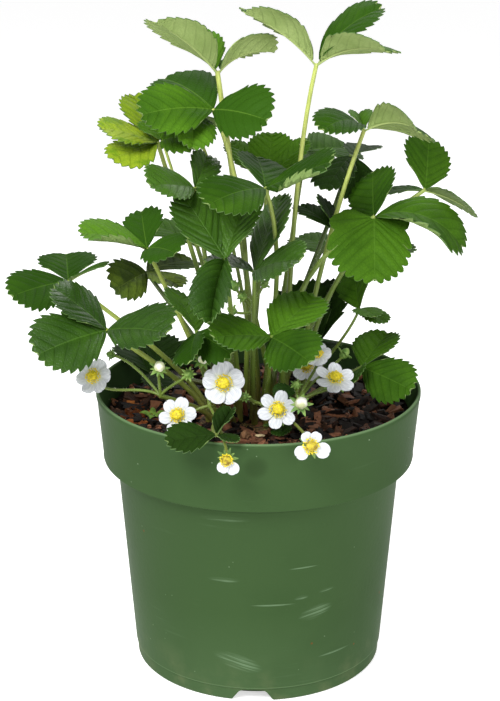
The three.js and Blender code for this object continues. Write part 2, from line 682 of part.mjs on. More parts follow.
// Each truss: its foot on the crown, where it forks, and its heads. A head has its centre, the
// compass point and pitch that it faces, and its radius.
const TRUSSES = [
  { name: 'truss_left', foot: ['frontLeft', 235], fork: [-48, -38, 154], heads: [
    { name: 'flower_far_left', kind: 'flower', at: [-81, -30, 161], face: [-110, 35], radius: 9 },
    { name: 'bud_white_left', kind: 'white', at: [-48, -45, 171], face: [-80, 40], radius: 2.6 },
    { kind: 'bud', at: [-34, -46, 168], face: [-90, 30], radius: 2.2 },
    { kind: 'bud', at: [-73, -20, 169], face: [-160, 20], radius: 2 },
  ] },
  { name: 'truss_front_left', foot: ['frontLeft', 270], fork: [-24, -50, 153], heads: [
    { name: 'flower_left', kind: 'flower', at: [-39, -55, 150], face: [-100, 35], radius: 9.2, petals: 6 },
    { name: 'flower_old_front', kind: 'flower', at: [-15, -95, 144], face: [-95, 0], radius: 7 },
    { name: 'bud_white_centre', kind: 'white', at: [-27, -42, 174], face: [-80, 40], radius: 2.6 },
    { kind: 'bud', at: [-16, -38, 174], face: [170, 30], radius: 2.6 },
  ] },
  { name: 'truss_front', foot: ['frontRight', 215], fork: [-2, -42, 152], heads: [
    { name: 'flower_front', kind: 'flower', at: [-17, -48, 164], face: [-90, 25], radius: 10.3, petals: 6 },
    { name: 'flower_middle', kind: 'flower', at: [9, -55, 153], face: [-85, 35], radius: 9.8 },
    { name: 'flower_old_right', kind: 'flower', at: [24, -89, 148], face: [-85, 20], radius: 8.2,
      lean: [18, 7, -12] },
    { kind: 'bud', at: [-7, -45, 156], face: [-90, 40], radius: 1.8 },
  ] },
  { name: 'truss_right', foot: ['frontRight', 300], fork: [19, -44, 153], heads: [
    { name: 'flower_right_back', kind: 'flower', at: [30, -28, 168], face: [-105, 40], radius: 8.5 },
    { name: 'flower_right', kind: 'flower', at: [37, -39, 163], face: [-75, 35], radius: 10 },
    { name: 'flower_hidden', kind: 'flower', at: [24, -12, 160], face: [-95, 30], radius: 8,
      lean: [0, 16, -16] },
    { name: 'bud_white_right', kind: 'white', at: [20, -60, 158], face: [-85, 35], radius: 3 },
    { kind: 'bud', at: [18, -50, 164], face: [-90, 60], radius: 1.8 },
    { kind: 'bud', at: [43, -10, 166], face: [20, 50], radius: 2.6 },
  ] },
  { name: 'truss_upper', foot: ['rearRight', 225], fork: [-2, -13, 188], heads: [
    { kind: 'bud', at: [-12, -18, 204], face: [-160, 60], radius: 2.6 },
    { kind: 'bud', at: [3, -12, 203], face: [20, 50], radius: 2 },
    { kind: 'bud', at: [-8, -16, 198], face: [-150, 20], radius: 2.2 },
    { kind: 'bud', at: [-13, -14, 190], face: [170, 30], radius: 2.2 },
  ] },
];

makePot();
makeSoil();
makeCrown();
LEAVES.forEach(makeLeaf);
TRUSSES.forEach(makeTruss);

export default plant;
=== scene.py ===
# %% [markdown]
# # A strawberry plant in a nursery pot
#
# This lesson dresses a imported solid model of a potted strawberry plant. The solids say where
# every piece is and how far it reaches. They are faceted and thin on detail, so each piece is
# modelled again here, finer, on the same lines. A leaf keeps the foot and the joint of its solid.
# Its leaflets are turned and bent a little further, to suit the photo, and it gains teeth,
# pleats, veins and hairs.

# %% Load the frame
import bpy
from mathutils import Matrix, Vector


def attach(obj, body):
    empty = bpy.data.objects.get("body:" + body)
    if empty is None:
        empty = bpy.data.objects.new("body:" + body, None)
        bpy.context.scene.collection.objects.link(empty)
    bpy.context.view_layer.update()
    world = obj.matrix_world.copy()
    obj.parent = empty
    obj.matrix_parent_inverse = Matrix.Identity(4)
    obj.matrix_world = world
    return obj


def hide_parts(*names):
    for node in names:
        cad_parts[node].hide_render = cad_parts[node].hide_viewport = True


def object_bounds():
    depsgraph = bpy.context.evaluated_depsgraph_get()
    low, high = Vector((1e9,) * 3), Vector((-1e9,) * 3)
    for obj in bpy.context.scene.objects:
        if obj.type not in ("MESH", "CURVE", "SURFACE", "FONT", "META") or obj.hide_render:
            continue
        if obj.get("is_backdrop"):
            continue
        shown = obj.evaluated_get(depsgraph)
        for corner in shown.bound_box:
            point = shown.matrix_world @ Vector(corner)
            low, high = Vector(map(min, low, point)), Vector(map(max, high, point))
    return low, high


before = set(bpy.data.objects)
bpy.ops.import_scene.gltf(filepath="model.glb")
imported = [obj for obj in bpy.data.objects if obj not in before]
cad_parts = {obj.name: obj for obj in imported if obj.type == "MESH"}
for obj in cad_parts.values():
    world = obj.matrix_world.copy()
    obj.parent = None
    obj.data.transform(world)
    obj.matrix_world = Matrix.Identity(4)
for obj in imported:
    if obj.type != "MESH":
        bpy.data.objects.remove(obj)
solid_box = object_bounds()
print("solids in the frame:", len(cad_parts))

# %% Tools of the lesson
import math
import random
import bpy
import bmesh
from mathutils import Matrix, Vector, noise

MM = 0.001
UP = Vector((0, 0, 1))
# loading leaves the solids selected, and an operator acts on all that is selected
bpy.ops.object.select_all(action="DESELECT")


def put_in_scene(name, data):
    """A new object with a mesh, a light or a camera of its own."""
    made = bpy.data.objects.new(name, data)
    bpy.context.scene.collection.objects.link(made)
    return made


# %% [markdown]
# ## The studio
#
# The real plant stood on white in a soft light, with hardly a shadow on the floor. A pale floor
# that glows a little, as a light table does, a pale sky and three wide area lights give the same
# look: the sky stays dim enough for the pot to turn darker towards its sides. The camera stands
# 0.9 m in front and looks down by 19 degrees. Its place was found by fitting the round rim and
# foot of the pot, whose real size is known, to their ellipses in the picture. A long lens keeps
# the lines of the pot nearly parallel.

# %% Camera
CAMERA_PLACE = Vector((-4.25, -899.0, 473.15))
LOOKS_DOWN = 18.96
camera_data = bpy.data.cameras.new("camera")
camera_data.lens = 96.5
camera_data.sensor_width = 36
camera = put_in_scene("camera", camera_data)
camera.location = CAMERA_PLACE * MM
camera.rotation_euler = (math.radians(90 - LOOKS_DOWN), 0, 0)
bpy.context.scene.camera = camera
print("camera at", tuple(round(v, 3) for v in camera.location))

# %% Sky, colours and lights
sky = bpy.data.worlds.new("sky")
sky.use_nodes = True
sky_light = sky.node_tree.nodes["Background"]
sky_light.inputs["Color"].default_value = (1, 1, 1, 1)
sky_light.inputs["Strength"].default_value = 0.42
bpy.context.scene.world = sky
bpy.context.scene.view_settings.view_transform = "Standard"


def add_light(name, place, aim, size, power):
    """A square soft light at a place, turned towards a point, both in millimetres."""
    data = bpy.data.lights.new(name, "AREA")
    data.size = size
    data.energy = power
    light = put_in_scene(name, data)
    light.location = Vector(place) * MM
    towards = Vector(aim) * MM - light.location
    light.rotation_euler = towards.to_track_quat("-Z", "Y").to_euler()


add_light("key", (-420, -700, 950), (0, 0, 180), 0.5, 15.5)
add_light("fill", (560, -820, 480), (0, 0, 150), 0.7, 4.5)
add_light("back", (200, 800, 800), (0, 0, 250), 0.6, 4.5)

# %% Floor
bpy.ops.mesh.primitive_plane_add(size=8, location=(0, 0, 0))
floor = bpy.context.object
floor.name = "floor"
floor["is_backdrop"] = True

# %% [markdown]
# ## Finishes as sums
#
# A finish is a tree of small nodes, and long trees are hard to read. Here one class wraps a
# socket of a node, and the signs + - * / build the Math nodes, so that a mask is written as
# `1 - line * 0.5`. Every other node comes from one method, `node`, which takes the kind of node,
# its settings and what goes into it. Colours are mixed by Mix nodes, because a Math node would
# turn them grey.

# %% Wires


class Wire:
    """A socket of a finish that can stand in a sum."""

    def __init__(self, tree, socket=None):
        self.tree = tree
        self.socket = socket

    def node(self, kind, settings=None, feeds=None, out=0):
        """Adds a node, sets it, feeds its sockets with values or wires, and returns an output."""
        made = self.tree.nodes.new(kind)
        for key, value in (settings or {}).items():
            setattr(made, key, value)
        for key, value in (feeds or {}).items():
            if isinstance(value, Wire):
                self.tree.links.new(value.socket, made.inputs[key])
            else:
                made.inputs[key].default_value = value
        return Wire(self.tree, made.outputs[out])

    def sum(self, operation, first, second=0.0):
        """A Math node with one or two numbers."""
        return self.node("ShaderNodeMath", {"operation": operation}, {0: first, 1: second})

    def __add__(self, other):
        return self.sum("ADD", self, other)

    __radd__ = __add__

    def __sub__(self, other):
        return self.sum("SUBTRACT", self, other)

    def __rsub__(self, other):
        return self.sum("SUBTRACT", other, self)

    def __mul__(self, other):
        return self.sum("MULTIPLY", self, other)

    __rmul__ = __mul__

    def __truediv__(self, other):
        return self.sum("DIVIDE", self, other)

    def __abs__(self):
        return self.sum("ABSOLUTE", self)

    def fract(self):
        """What is left of a number above its whole part."""
        return self.sum("FRACT", self)

    def least(self, other):
        """The smaller of two."""
        return self.sum("MINIMUM", self, other)

    def most(self, other):
        """The greater of two."""
        return self.sum("MAXIMUM", self, other)

    def rise(self, low, high):
        """0 below low, 1 above high, and a smooth step between."""
        feeds = {"Value": self, "From Min": low, "From Max": high}
        return self.node("ShaderNodeMapRange", {"interpolation_type": "SMOOTHSTEP"}, feeds)

    def fall(self, low, high):
        """1 below low, 0 above high, and a smooth step between."""
        return 1 - self.rise(low, high)

    def mix(self, colour_a, colour_b, factor):
        """colour_a where the factor is 0 and colour_b where it is 1."""
        settings = {"data_type": "RGBA", "clamp_factor": True}
        return self.node("ShaderNodeMix", settings, {0: factor, 6: colour_a, 7: colour_b}, 2)

    def places(self):
        """Where each point lies on the object, in metres."""
        return self.node("ShaderNodeTexCoord", out=3)

    def stretched(self, vector, scale):
        """A vector with its three parts scaled."""
        return self.node("ShaderNodeMapping", {}, {"Vector": vector, "Scale": scale})

    def grain(self, vector, scale, detail=3.0, rough=0.5):
        """Cloudy noise, from 0 to 1."""
        feeds = {"Vector": vector, "Scale": scale, "Detail": detail, "Roughness": rough}
        return self.node("ShaderNodeTexNoise", {}, feeds)

    def cells(self, vector, scale, feature="F1"):
        """Cells of random shape: the distance to their middle or to their edge."""
        feeds = {"Vector": vector, "Scale": scale}
        return self.node("ShaderNodeTexVoronoi", {"feature": feature}, feeds)

    def own_number(self, name):
        """The number that a mesh keeps for each of its points under a name."""
        return self.node("ShaderNodeAttribute", {"attribute_name": name}, out=2)

    def parts(self, vector):
        """The three numbers of a vector, each as a wire."""
        x = self.node("ShaderNodeSeparateXYZ", {}, {0: vector})
        outputs = x.socket.node.outputs
        return x, Wire(self.tree, outputs[1]), Wire(self.tree, outputs[2])


def tone(red, green, blue):
    """A colour seen on the screen, 0 to 255 each, as the light that a finish works with."""
    def light(value):
        """One of the three, by the usual curve of a screen."""
        share = value / 255
        return share / 12.92 if share <= 0.04045 else ((share + 0.055) / 1.055) ** 2.4
    return (light(red), light(green), light(blue), 1)


def new_finish(name, roughness):
    """A new material, a wire to start from and its shader."""
    finish = bpy.data.materials.new(name)
    finish.use_nodes = True
    shader = finish.node_tree.nodes["Principled BSDF"]
    shader.inputs["Roughness"].default_value = roughness
    return finish, Wire(finish.node_tree), shader


def feed(shader, **wires):
    """Links wires to the sockets of a shader, with _ for a space in the socket's name."""
    for name, wire in wires.items():
        wire.tree.links.new(wire.socket, shader.inputs[name.replace("_", " ")])


def relief(start, height, depth):
    """A bump from a height of 0 to 1, that many metres deep."""
    return start.node("ShaderNodeBump", {}, {"Height": height, "Distance": depth, "Strength": 1.0})


def even_finish(name, roughness, colour):
    """A new material of one colour, and its shader."""
    finish, _, shader = new_finish(name, roughness)
    shader.inputs["Base Color"].default_value = colour
    return finish, shader


floor_finish, shader = even_finish("pale_floor", 0.6, tone(235, 235, 235))
shader.inputs["Emission Color"].default_value = (1, 1, 1, 1)
shader.inputs["Emission Strength"].default_value = 0.6
floor.data.materials.append(floor_finish)
print("floor ready")

# %% [markdown]
# ## The pot
#
# A nursery pot is moulded in one go: a tapered body, a tall collar that overhangs it by 7 mm, a
# rounded lip, a fine parting line near the foot and three drain notches cut into the foot. A
# round thing like this could be turned from a cylinder by many extrusions. Spinning one half
# profile is shorter and keeps every ring exact, so the profile is drawn point by point with
# extrude and then spun. The notches are cut with a Boolean modifier, as a saw would cut them.

# %% Helpers for spun pieces


def pick(*pieces):
    """Selects only these pieces and makes the first of them the active one."""
    bpy.ops.object.select_all(action="DESELECT")
    for piece in pieces:
        piece.select_set(True)
    bpy.context.view_layer.objects.active = pieces[0]


def start_edit(piece):
    """Selects only this piece and opens it in edit mode with all of it selected."""
    pick(piece)
    bpy.ops.object.mode_set(mode="EDIT")
    bpy.ops.mesh.select_all(action="SELECT")


def settle(piece):
    """Moves a piece's place into its mesh, so that its object sits at the origin."""
    bpy.ops.object.mode_set(mode="OBJECT")
    pick(piece)
    bpy.ops.object.transform_apply(location=True, rotation=True, scale=True)


def spun_piece(name, profile, steps):
    """A closed round piece from a half profile of (radius, height) in millimetres."""
    first = Vector((profile[0][0], 0, profile[0][1])) * MM
    bpy.ops.object.select_all(action="DESELECT")
    bpy.ops.mesh.primitive_plane_add(size=MM, location=first)
    piece = bpy.context.object
    piece.name = name
    settle(piece)
    start_edit(piece)
    bpy.ops.mesh.merge(type="CENTER")
    for (radius, height), (next_radius, next_height) in zip(profile, profile[1:]):
        step = Vector((next_radius - radius, 0, next_height - height)) * MM
        bpy.ops.mesh.extrude_region_move(TRANSFORM_OT_translate={"value": step})
    bpy.ops.mesh.select_all(action="SELECT")
    bpy.ops.mesh.spin(steps=steps, angle=2 * math.pi, center=(0, 0, 0), axis=(0, 0, 1))
    bpy.ops.mesh.select_all(action="SELECT")
    bpy.ops.mesh.remove_doubles(threshold=0.01 * MM)
    bpy.ops.mesh.normals_make_consistent(inside=False)
    bpy.ops.object.mode_set(mode="OBJECT")
    return piece


def use_modifier(piece, kind, **settings):
    """Adds a modifier to a piece, sets it and applies it."""
    pick(piece)
    modifier = piece.modifiers.new(kind.lower(), kind)
    for key, value in settings.items():
        setattr(modifier, key, value)
    bpy.ops.object.modifier_apply(modifier=modifier.name)


def smooth(piece, angle):
    """Smooth shading, with edges sharper than the angle kept."""
    pick(piece)
    bpy.ops.object.shade_smooth_by_angle(angle=math.radians(angle))


# %% Pot body
POT_PROFILE = [
    (0, 0), (14, 0), (15, 1), (56.6, 1), (57.6, 0), (62.8, 0), (63.6, 0.8), (63.9, 6.9),
    (64.5, 7.4), (64.6, 8.1), (72.5, 109.2), (72.9, 109.7), (78.6, 109.7), (79.3, 110.1),
    (79.5, 110.9), (79.4, 112.4), (82.1, 142.6), (82.5, 143.4), (82.5, 145.0), (82.1, 145.8),
    (81.6, 146), (81.1, 145.7), (80.8, 145), (77.8, 112.2), (77.4, 111.6), (71.6, 111.4),
    (71.0, 110.8), (62.2, 3.2), (61.6, 2.2), (0, 2.2),
]
pot = spun_piece("nursery_pot", POT_PROFILE, 144)
print("pot faces:", len(pot.data.polygons))

# %% Drain notches
# how wide a notch is at its foot and at its top, and where its cutter stands
NOTCH_FOOT = 23.6
NOTCH_TOP = 12.4
NOTCH_PLACE = -59.6
bpy.ops.object.select_all(action="DESELECT")
bpy.ops.mesh.primitive_cube_add(size=1, location=(0, NOTCH_PLACE * MM, 2.3 * MM))
cutter = bpy.context.object
cutter.scale = (NOTCH_FOOT * MM, 18 * MM, 7.6 * MM)
settle(cutter)
start_edit(cutter)
cutter_mesh = bmesh.from_edit_mesh(cutter.data)
for vertex in cutter_mesh.verts:
    vertex.select = vertex.co.z > 0
bmesh.update_edit_mesh(cutter.data)
bpy.ops.transform.resize(value=(NOTCH_TOP / NOTCH_FOOT, 1, 1), center_override=(0, NOTCH_PLACE * MM, 0))
bpy.ops.mesh.select_all(action="DESELECT")
for edge in cutter_mesh.edges:
    first, second = (vertex.co for vertex in edge.verts)
    edge.select = abs(first.x - second.x) < 1e-6 and first.z > 0 and second.z > 0
bmesh.update_edit_mesh(cutter.data)
bpy.ops.mesh.bevel(offset=1.7 * MM, segments=4)
bpy.ops.object.mode_set(mode="OBJECT")
for turn in (-2.7, 117.3, 237.3):
    notch = put_in_scene("notch", cutter.data.copy())
    notch.data.transform(Matrix.Rotation(math.radians(turn), 4, "Z"))
    use_modifier(pot, "BOOLEAN", operation="DIFFERENCE", solver="EXACT", object=notch)
    bpy.data.objects.remove(notch)
bpy.data.objects.remove(cutter)
smooth(pot, 35)
print("pot with notches:", len(pot.data.polygons), "faces")

# %% [markdown]
# ### Green moulded plastic
#
# The pot has stood in a nursery: the parting line near the foot is rubbed pale, and stacking
# left pale scuffs. Its satin green is paler towards the foot. A pale line along the top of the
# lip is a painted highlight, and a dark band in the corner under the collar is painted shade. A
# scuff is a bundle of fine streaks that fades at both ends. So one helper masks a soft oval with
# noise that is stretched along the scuff, and each scuff is one line with the place, the size and
# the slope that it has on the real pot.

# %% Pot finish
pot_finish, start, shader = new_finish("green_plastic", 0.42)
shader.inputs["IOR"].default_value = 1.14
shader.inputs["Specular IOR Level"].default_value = 0.15
place = start.places()
x, y, z = start.parts(place)
front = y.fall(-0.02, 0.0)
cloud = start.grain(place, 14, 4)
speckle = start.grain(place, 420, 2)
green = start.mix(tone(54, 76, 44), tone(63, 85, 54), (z * -20 + 1).least(1).most(0))
green = start.mix(green, tone(44, 66, 36), cloud.rise(0.45, 0.75) * 0.4)


def scuff(middle_x, middle_z, wide, high, slope=0.0, fine=500, least=0.5):
    """Pale streaks in a soft oval on the front of the pot, in millimetres."""
    across = x - middle_x * MM
    along = z - middle_z * MM - across * slope
    oval = ((across / (wide * MM)) * (across / (wide * MM))
            + (along / (high * MM)) * (along / (high * MM))).fall(0.1, 1.0)
    plane = start.node("ShaderNodeCombineXYZ", {}, {0: across * 40, 1: along * fine})
    lines = start.grain(plane, 1, 3)
    return oval * (lines.rise(least, least + 0.2) * 0.85 + 0.15) * front


# each scuff: its middle across and up, its half width and half height, its slope, and for some
# how fine its streaks are and where they begin
SCUFFS = (
    (-17, 69, 9, 1.6, 0.02), (7, 55.4, 12, 0.6, 0.0, 300, 0.3), (21, 58.4, 4, 1.4, 0.1),
    (28, 48.8, 9, 4, 0.22, 900, 0.42), (22, 75, 8, 0.5, 0.02, 300, 0.3), (33.5, 60.2, 4.5, 1.0, 0.12),
    (38, 22.6, 9, 0.7, 0.05, 300, 0.35), (-10, 22.5, 13, 5, -0.28, 900, 0.42),
)
scuffs = scuff(-16, 102.6, 14, 1.8, 0.03) * 0.6
for settings in SCUFFS:
    scuffs = scuffs.most(scuff(*settings))
fine_lines = start.grain(start.stretched(place, (30, 30, 700)), 1, 3).rise(0.55, 0.75)
marks = scuffs.most(start.grain(place, 40, 2).rise(0.55, 0.8) * fine_lines * 0.3)
# a pale line along the top of the lip: a painted highlight on its rounded edge
lip_highlight = z.rise(0.1448, 0.1457) * 0.8
parting_line = abs(z - 0.0075).fall(0.0, 0.0006) * 0.5
# a dark band on the body just under the collar: painted shade where the overhang shades it
corner = z.rise(0.1062, 0.1074) * z.fall(0.1097, 0.11)
dust = z.fall(0.0, 0.03) * start.grain(place, 70, 4).rise(0.45, 0.7)
across = (x + 1.5 * MM) / (7 * MM)
along = (z - 134 * MM) / (7 * MM)
smear = (across * across + along * along).fall(0.0, 1.0) * front
specks = start.cells(place, 150).fall(0.035, 0.07) * start.grain(place, 60, 1).rise(0.5, 0.55)
rust = start.cells(place, 70).fall(0.03, 0.06) * start.grain(place, 30, 1).rise(0.56, 0.6)
# the pale tone paints a highlight on the lip and rubbed wear on the parting line; the dark one paints
# shade in the corner under the collar
for colour, mask in (
        (tone(112, 136, 106), marks * 0.5), (tone(96, 120, 84), lip_highlight.most(parting_line)),
        (tone(24, 34, 18), corner * 0.8), (tone(106, 112, 80), dust * 0.3),
        (tone(36, 52, 28), smear * 0.5),
        (tone(150, 170, 140), specks * z.rise(0.108, 0.112).most(0.3) * 0.8),
        (tone(104, 62, 32), rust * 0.8)):
    green = start.mix(green, colour, mask)
feed(
    shader,
    Base_Color=green,
    Roughness=0.36 + cloud * 0.16 + marks * 0.25 + speckle * 0.06,
    Normal=relief(start, speckle * 0.6 + marks * 0.4 + cloud * 0.5, 0.00012),
)
pot.data.materials.clear()
pot.data.materials.append(pot_finish)
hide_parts("pot")
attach(pot, "root")
print("pot finish:", len(SCUFFS) + 1, "scuffs")

# %% [markdown]
# ## The soil
#
# The pot is filled with damp compost of shredded bark. From a step away it reads as a dark
# ground with red-brown chips lying across each other, deep gaps, a few white grains and dry
# crumbs. One bumpy sheet could not show the gaps, so there are two layers: a closed body of soil
# with a rough top, and the bark chips and small bits that lie on it. A chip is modelled once in
# a few shapes and copied.

# %% Helpers for places on the soil
rng = random.Random(5)


def soil_height(x, y):
    """Height of the soil in millimetres, the same swell as the solid's."""
    swell = math.sin(x * 0.13 + 0.6) * math.cos(y * 0.11 - 0.4)
    crumb = math.sin(x * 0.37 + y * 0.23) * 0.6
    return 131 + 1.3 * (swell + crumb)


SOIL_RADIUS = 78.7

# %% Soil body
bpy.ops.object.select_all(action="DESELECT")
bpy.ops.mesh.primitive_grid_add(x_subdivisions=150, y_subdivisions=150, size=2 * SOIL_RADIUS * MM)
soil = bpy.context.object
soil.name = "soil_body"
settle(soil)
for vertex in soil.data.vertices:
    x, y = vertex.co.x, vertex.co.y
    # squares become rings, so that the rim of the sheet is round
    reach = max(abs(x), abs(y))
    radius = math.hypot(x, y)
    if radius > 0:
        vertex.co.x, vertex.co.y = x * reach / radius, y * reach / radius
    place = vertex.co / MM
    rough = noise.fractal(place * 0.22, 0.9, 2.1, 4) * 1.3 + noise.noise(place * 0.9) * 0.5
    edge = min(1, (SOIL_RADIUS - place.xy.length) / 3)
    vertex.co.z = (soil_height(place.x, place.y) - 0.9 + rough * edge - (1 - edge) * 1.0) * MM
# the skirt of the soil goes down the collar, in over the ledge and down to the foot of the pot:
# how far down, how much narrower, whether it keeps its height, and the level it is narrowed at
SKIRT = ((-16, 0.982, 0, 112.6), (-0.1, 0.92, 1, 112.6), (-108, 0.868, 1, 4))
start_edit(soil)
bpy.ops.mesh.select_all(action="DESELECT")
bpy.ops.mesh.select_mode(type="EDGE")
bpy.ops.mesh.select_non_manifold(extend=False)
for down, narrow, keep, level in SKIRT:
    bpy.ops.mesh.extrude_region_move(TRANSFORM_OT_translate={"value": (0, 0, down * MM)})
    bpy.ops.transform.resize(value=(narrow, narrow, keep), center_override=(0, 0, level * MM))
bpy.ops.mesh.edge_face_add()
bpy.ops.mesh.select_mode(type="VERT")
bpy.ops.mesh.select_all(action="SELECT")
bpy.ops.mesh.normals_make_consistent(inside=False)
bpy.ops.object.mode_set(mode="OBJECT")
smooth(soil, 60)
print("soil faces:", len(soil.data.polygons))

# %% Bark chips, modelled once
chip_shapes = []
for number in range(5):
    bpy.ops.object.select_all(action="DESELECT")
    bpy.ops.mesh.primitive_cube_add(size=1)
    chip = bpy.context.object
    chip.name = f"chip_shape_{number}"
    start_edit(chip)
    bpy.ops.mesh.subdivide(number_cuts=1, fractal=0.35, fractal_along_normal=0.6, seed=number + 3)
    bpy.ops.object.mode_set(mode="OBJECT")
    for vertex in chip.data.vertices:
        vertex.co *= 1 - 0.25 * vertex.co.length + 0.3 * rng.random()
    chip_shapes.append(chip)


def mesh_piece(name, points, faces):
    """A new object from a list of points, in metres, and a list of faces."""
    mesh = bpy.data.meshes.new(name)
    mesh.from_pydata(points, [], faces)
    return put_in_scene(name, mesh)


def scattered(name, shapes, spots):
    """One object with a copy of a shape at each spot, and each copy's tone as an attribute."""
    points, faces, tones = [], [], []
    for matrix, shade in spots:
        shape = shapes[rng.randrange(len(shapes))].data
        first = len(points)
        points.extend(matrix @ vertex.co for vertex in shape.vertices)
        faces.extend([first + k for k in polygon.vertices] for polygon in shape.polygons)
        tones.extend([shade] * len(shape.vertices))
    piece = mesh_piece(name, points, faces)
    piece.data.attributes.new("shade", "FLOAT", "POINT").data.foreach_set("value", tones)
    return piece


def lying(x, y, size, tilt, sink=0.3):
    """A matrix that lays a unit shape on the soil, turned at random."""
    turn = Matrix.Rotation(rng.uniform(0, 2 * math.pi), 4, "Z")
    lean = Matrix.Rotation(rng.gauss(0, tilt), 4, "X") @ Matrix.Rotation(rng.gauss(0, tilt), 4, "Y")
    height = soil_height(x, y) + size[2] * (0.5 - sink)
    return Matrix.Translation(Vector((x, y, height)) * MM) @ turn @ lean \
        @ Matrix.Diagonal((*(s * MM for s in size), 1))


def soil_spot(reach):
    """A random spot inside a radius of the soil."""
    radius = reach * math.sqrt(rng.random())
    angle = rng.uniform(0, 2 * math.pi)
    return radius * math.cos(angle), radius * math.sin(angle)


# %% Lay the chips
LONG_CHIPS = 620
SMALL_BITS = 1500
spots = []
while len(spots) < LONG_CHIPS:
    x, y = soil_spot(76)
    long = rng.uniform(5, 15)
    wide = rng.uniform(2.2, 6)
    if math.hypot(x, y) + long / 2 > 77:
        continue
    thick = rng.uniform(1.0, 2.8)
    spots.append((lying(x, y, (long, wide, thick), 0.34, 0.15), rng.random()))
for _ in range(SMALL_BITS):
    x, y = soil_spot(77)
    size = rng.uniform(0.8, 2.4)
    spots.append((lying(x, y, (size * 1.3, size, size * 0.7), 0.5), rng.random()))
chips = scattered("bark_chips", chip_shapes, spots)
print("bark chips:", len(spots), "pieces,", len(chips.data.polygons), "faces")

# %% Pale grains and dry crumbs
bpy.ops.object.select_all(action="DESELECT")
bpy.ops.mesh.primitive_ico_sphere_add(subdivisions=2, radius=0.5)
grain_shape = bpy.context.object
grain_shape.name = "grain_shape"
for vertex in grain_shape.data.vertices:
    vertex.co *= 1 + 0.22 * noise.noise(vertex.co * 5)
spots = [(lying(45, -4, (2.6, 2.4, 2.2), 0.3, 0.1), 0.95)]
for _ in range(26):
    x, y = soil_spot(75)
    size = rng.uniform(0.9, 1.8)
    spots.append((lying(x, y, (size, size, size * 0.8), 0.3, 0.2), rng.uniform(0.5, 1)))
grains = scattered("pale_grains", [grain_shape], spots)
spots = []
for _ in range(90):
    x = rng.gauss(-59, 5)
    y = rng.gauss(-6, 7)
    if math.hypot(x, y) < 74:
        size = rng.uniform(1.2, 3.4)
        spots.append((lying(x, y, (size * 1.2, size, size * 0.7), 0.5, 0.1), rng.random()))
crumbs = scattered("dry_crumbs", chip_shapes, spots)
for shape in [*chip_shapes, grain_shape]:
    bpy.data.objects.remove(shape)
print("pale grains:", len(grains.data.polygons), "faces, dry crumbs:", len(crumbs.data.polygons))

# %% Soil finishes
soil_finish, start, shader = new_finish("damp_compost", 0.9)
shader.inputs["Specular IOR Level"].default_value = 0.15
place = start.places()
lumps = start.grain(place, 300, 6, 0.65)
fibres = start.grain(start.stretched(place, (1, 1, 2.5)), 900, 3)
brown = start.mix(tone(10, 6, 4), tone(46, 29, 19), lumps.rise(0.42, 0.72))
brown = start.mix(brown, tone(86, 57, 39), (fibres * lumps).rise(0.36, 0.46) * 0.5)
feed(shader, Base_Color=brown, Normal=relief(start, lumps + fibres * 0.3, 0.0012))
soil.data.materials.append(soil_finish)


def bark_finish(name, dark, light, roughness):
    """Bark with a grain along it and a tone of its own for each chip."""
    finish, start, shader = new_finish(name, roughness)
    shader.inputs["Specular IOR Level"].default_value = 0.2
    place = start.places()
    shade = start.own_number("shade")
    rings = start.grain(place, 700, 4, 0.6)
    colour = start.mix(dark, light, (shade * shade * shade + rings * 0.5 - 0.22).rise(0.05, 1.1))
    feed(shader, Base_Color=colour, Normal=relief(start, rings, 0.0005))
    return finish


chips.data.materials.append(bark_finish("red_bark", tone(18, 11, 8), tone(154, 102, 75), 0.7))
crumbs.data.materials.append(bark_finish("dry_bark", tone(104, 52, 20), tone(186, 112, 58), 0.9))
grains.data.materials.append(bark_finish("white_grain", tone(170, 160, 140), tone(240, 238, 230), 0.8))
soil_pieces = (soil, chips, crumbs, grains)
for piece in soil_pieces:
    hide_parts("soil")
    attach(piece, "root")
print("pieces of the soil:", len(soil_pieces))

# %% [markdown]
# ## The crown
#
# Every stalk of a strawberry rises from its crown, a short brown stem that barely stands out of
# the soil and is wrapped in the dry feet of old leaves. Only its top shows between the stalks.
# Like the solid it has four knobs, each with a ledge for the stalks and a hub. A knob is spun
# from a half profile and then crumpled with noise.

# %% Crown knobs
KNOBS = {"frontLeft": (-17, -16), "frontRight": (5, -18), "rearLeft": (-8, 6), "rearRight": (14, 4)}
KNOB_PROFILE = [
    (0, 118), (11, 118), (13, 122), (13, 126), (13.2, 130), (12.6, 132.4), (11.4, 133), (8.4, 132.8),
    (5.6, 133.2), (4.8, 134.6), (3, 136.4), (0, 137.3),
]
knobs = []
for name, (x, y) in KNOBS.items():
    knob = spun_piece("crown_" + name, KNOB_PROFILE, 28)
    for vertex in knob.data.vertices:
        vertex.co.x += x * MM
        vertex.co.y += y * MM
        if vertex.co.z > 125 * MM:
            vertex.co += vertex.normal * noise.noise(vertex.co * 420) * 0.5 * MM
    smooth(knob, 50)
    knobs.append(knob)
crown_finish, start, shader = new_finish("old_scales", 0.8)
place = start.places()
strands = start.grain(start.stretched(place, (1, 1, 0.25)), 700, 4)
scales = start.mix(tone(58, 42, 24), tone(146, 112, 66), strands.rise(0.4, 0.7))
scales = start.mix(scales, tone(120, 128, 62), start.grain(place, 90).rise(0.5, 0.65) * 0.6)
feed(shader, Base_Color=scales, Normal=relief(start, strands, 0.0006))
for knob in knobs:
    knob.data.materials.append(crown_finish)
    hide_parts("crown")
    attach(knob, "root")
print("crown knobs:", len(knobs))

# %% [markdown]
# ## One leaflet
#
# A strawberry leaf has three leaflets. A leaflet is an oval that is widest beyond its middle,
# with blunt saw teeth, and a side vein runs from the midrib to the point of every tooth. The
# blade is pressed in along the veins and swells between them. A flat grid carries this well if
# its rows run along the veins instead of straight across: then teeth, veins and pleats all
# follow the rows. So a grid is laid out flat, with the number of the vein and the distance from
# the midrib kept as its UV map. There are four of these patterns, and every leaflet of the plant
# is a bent copy of one.

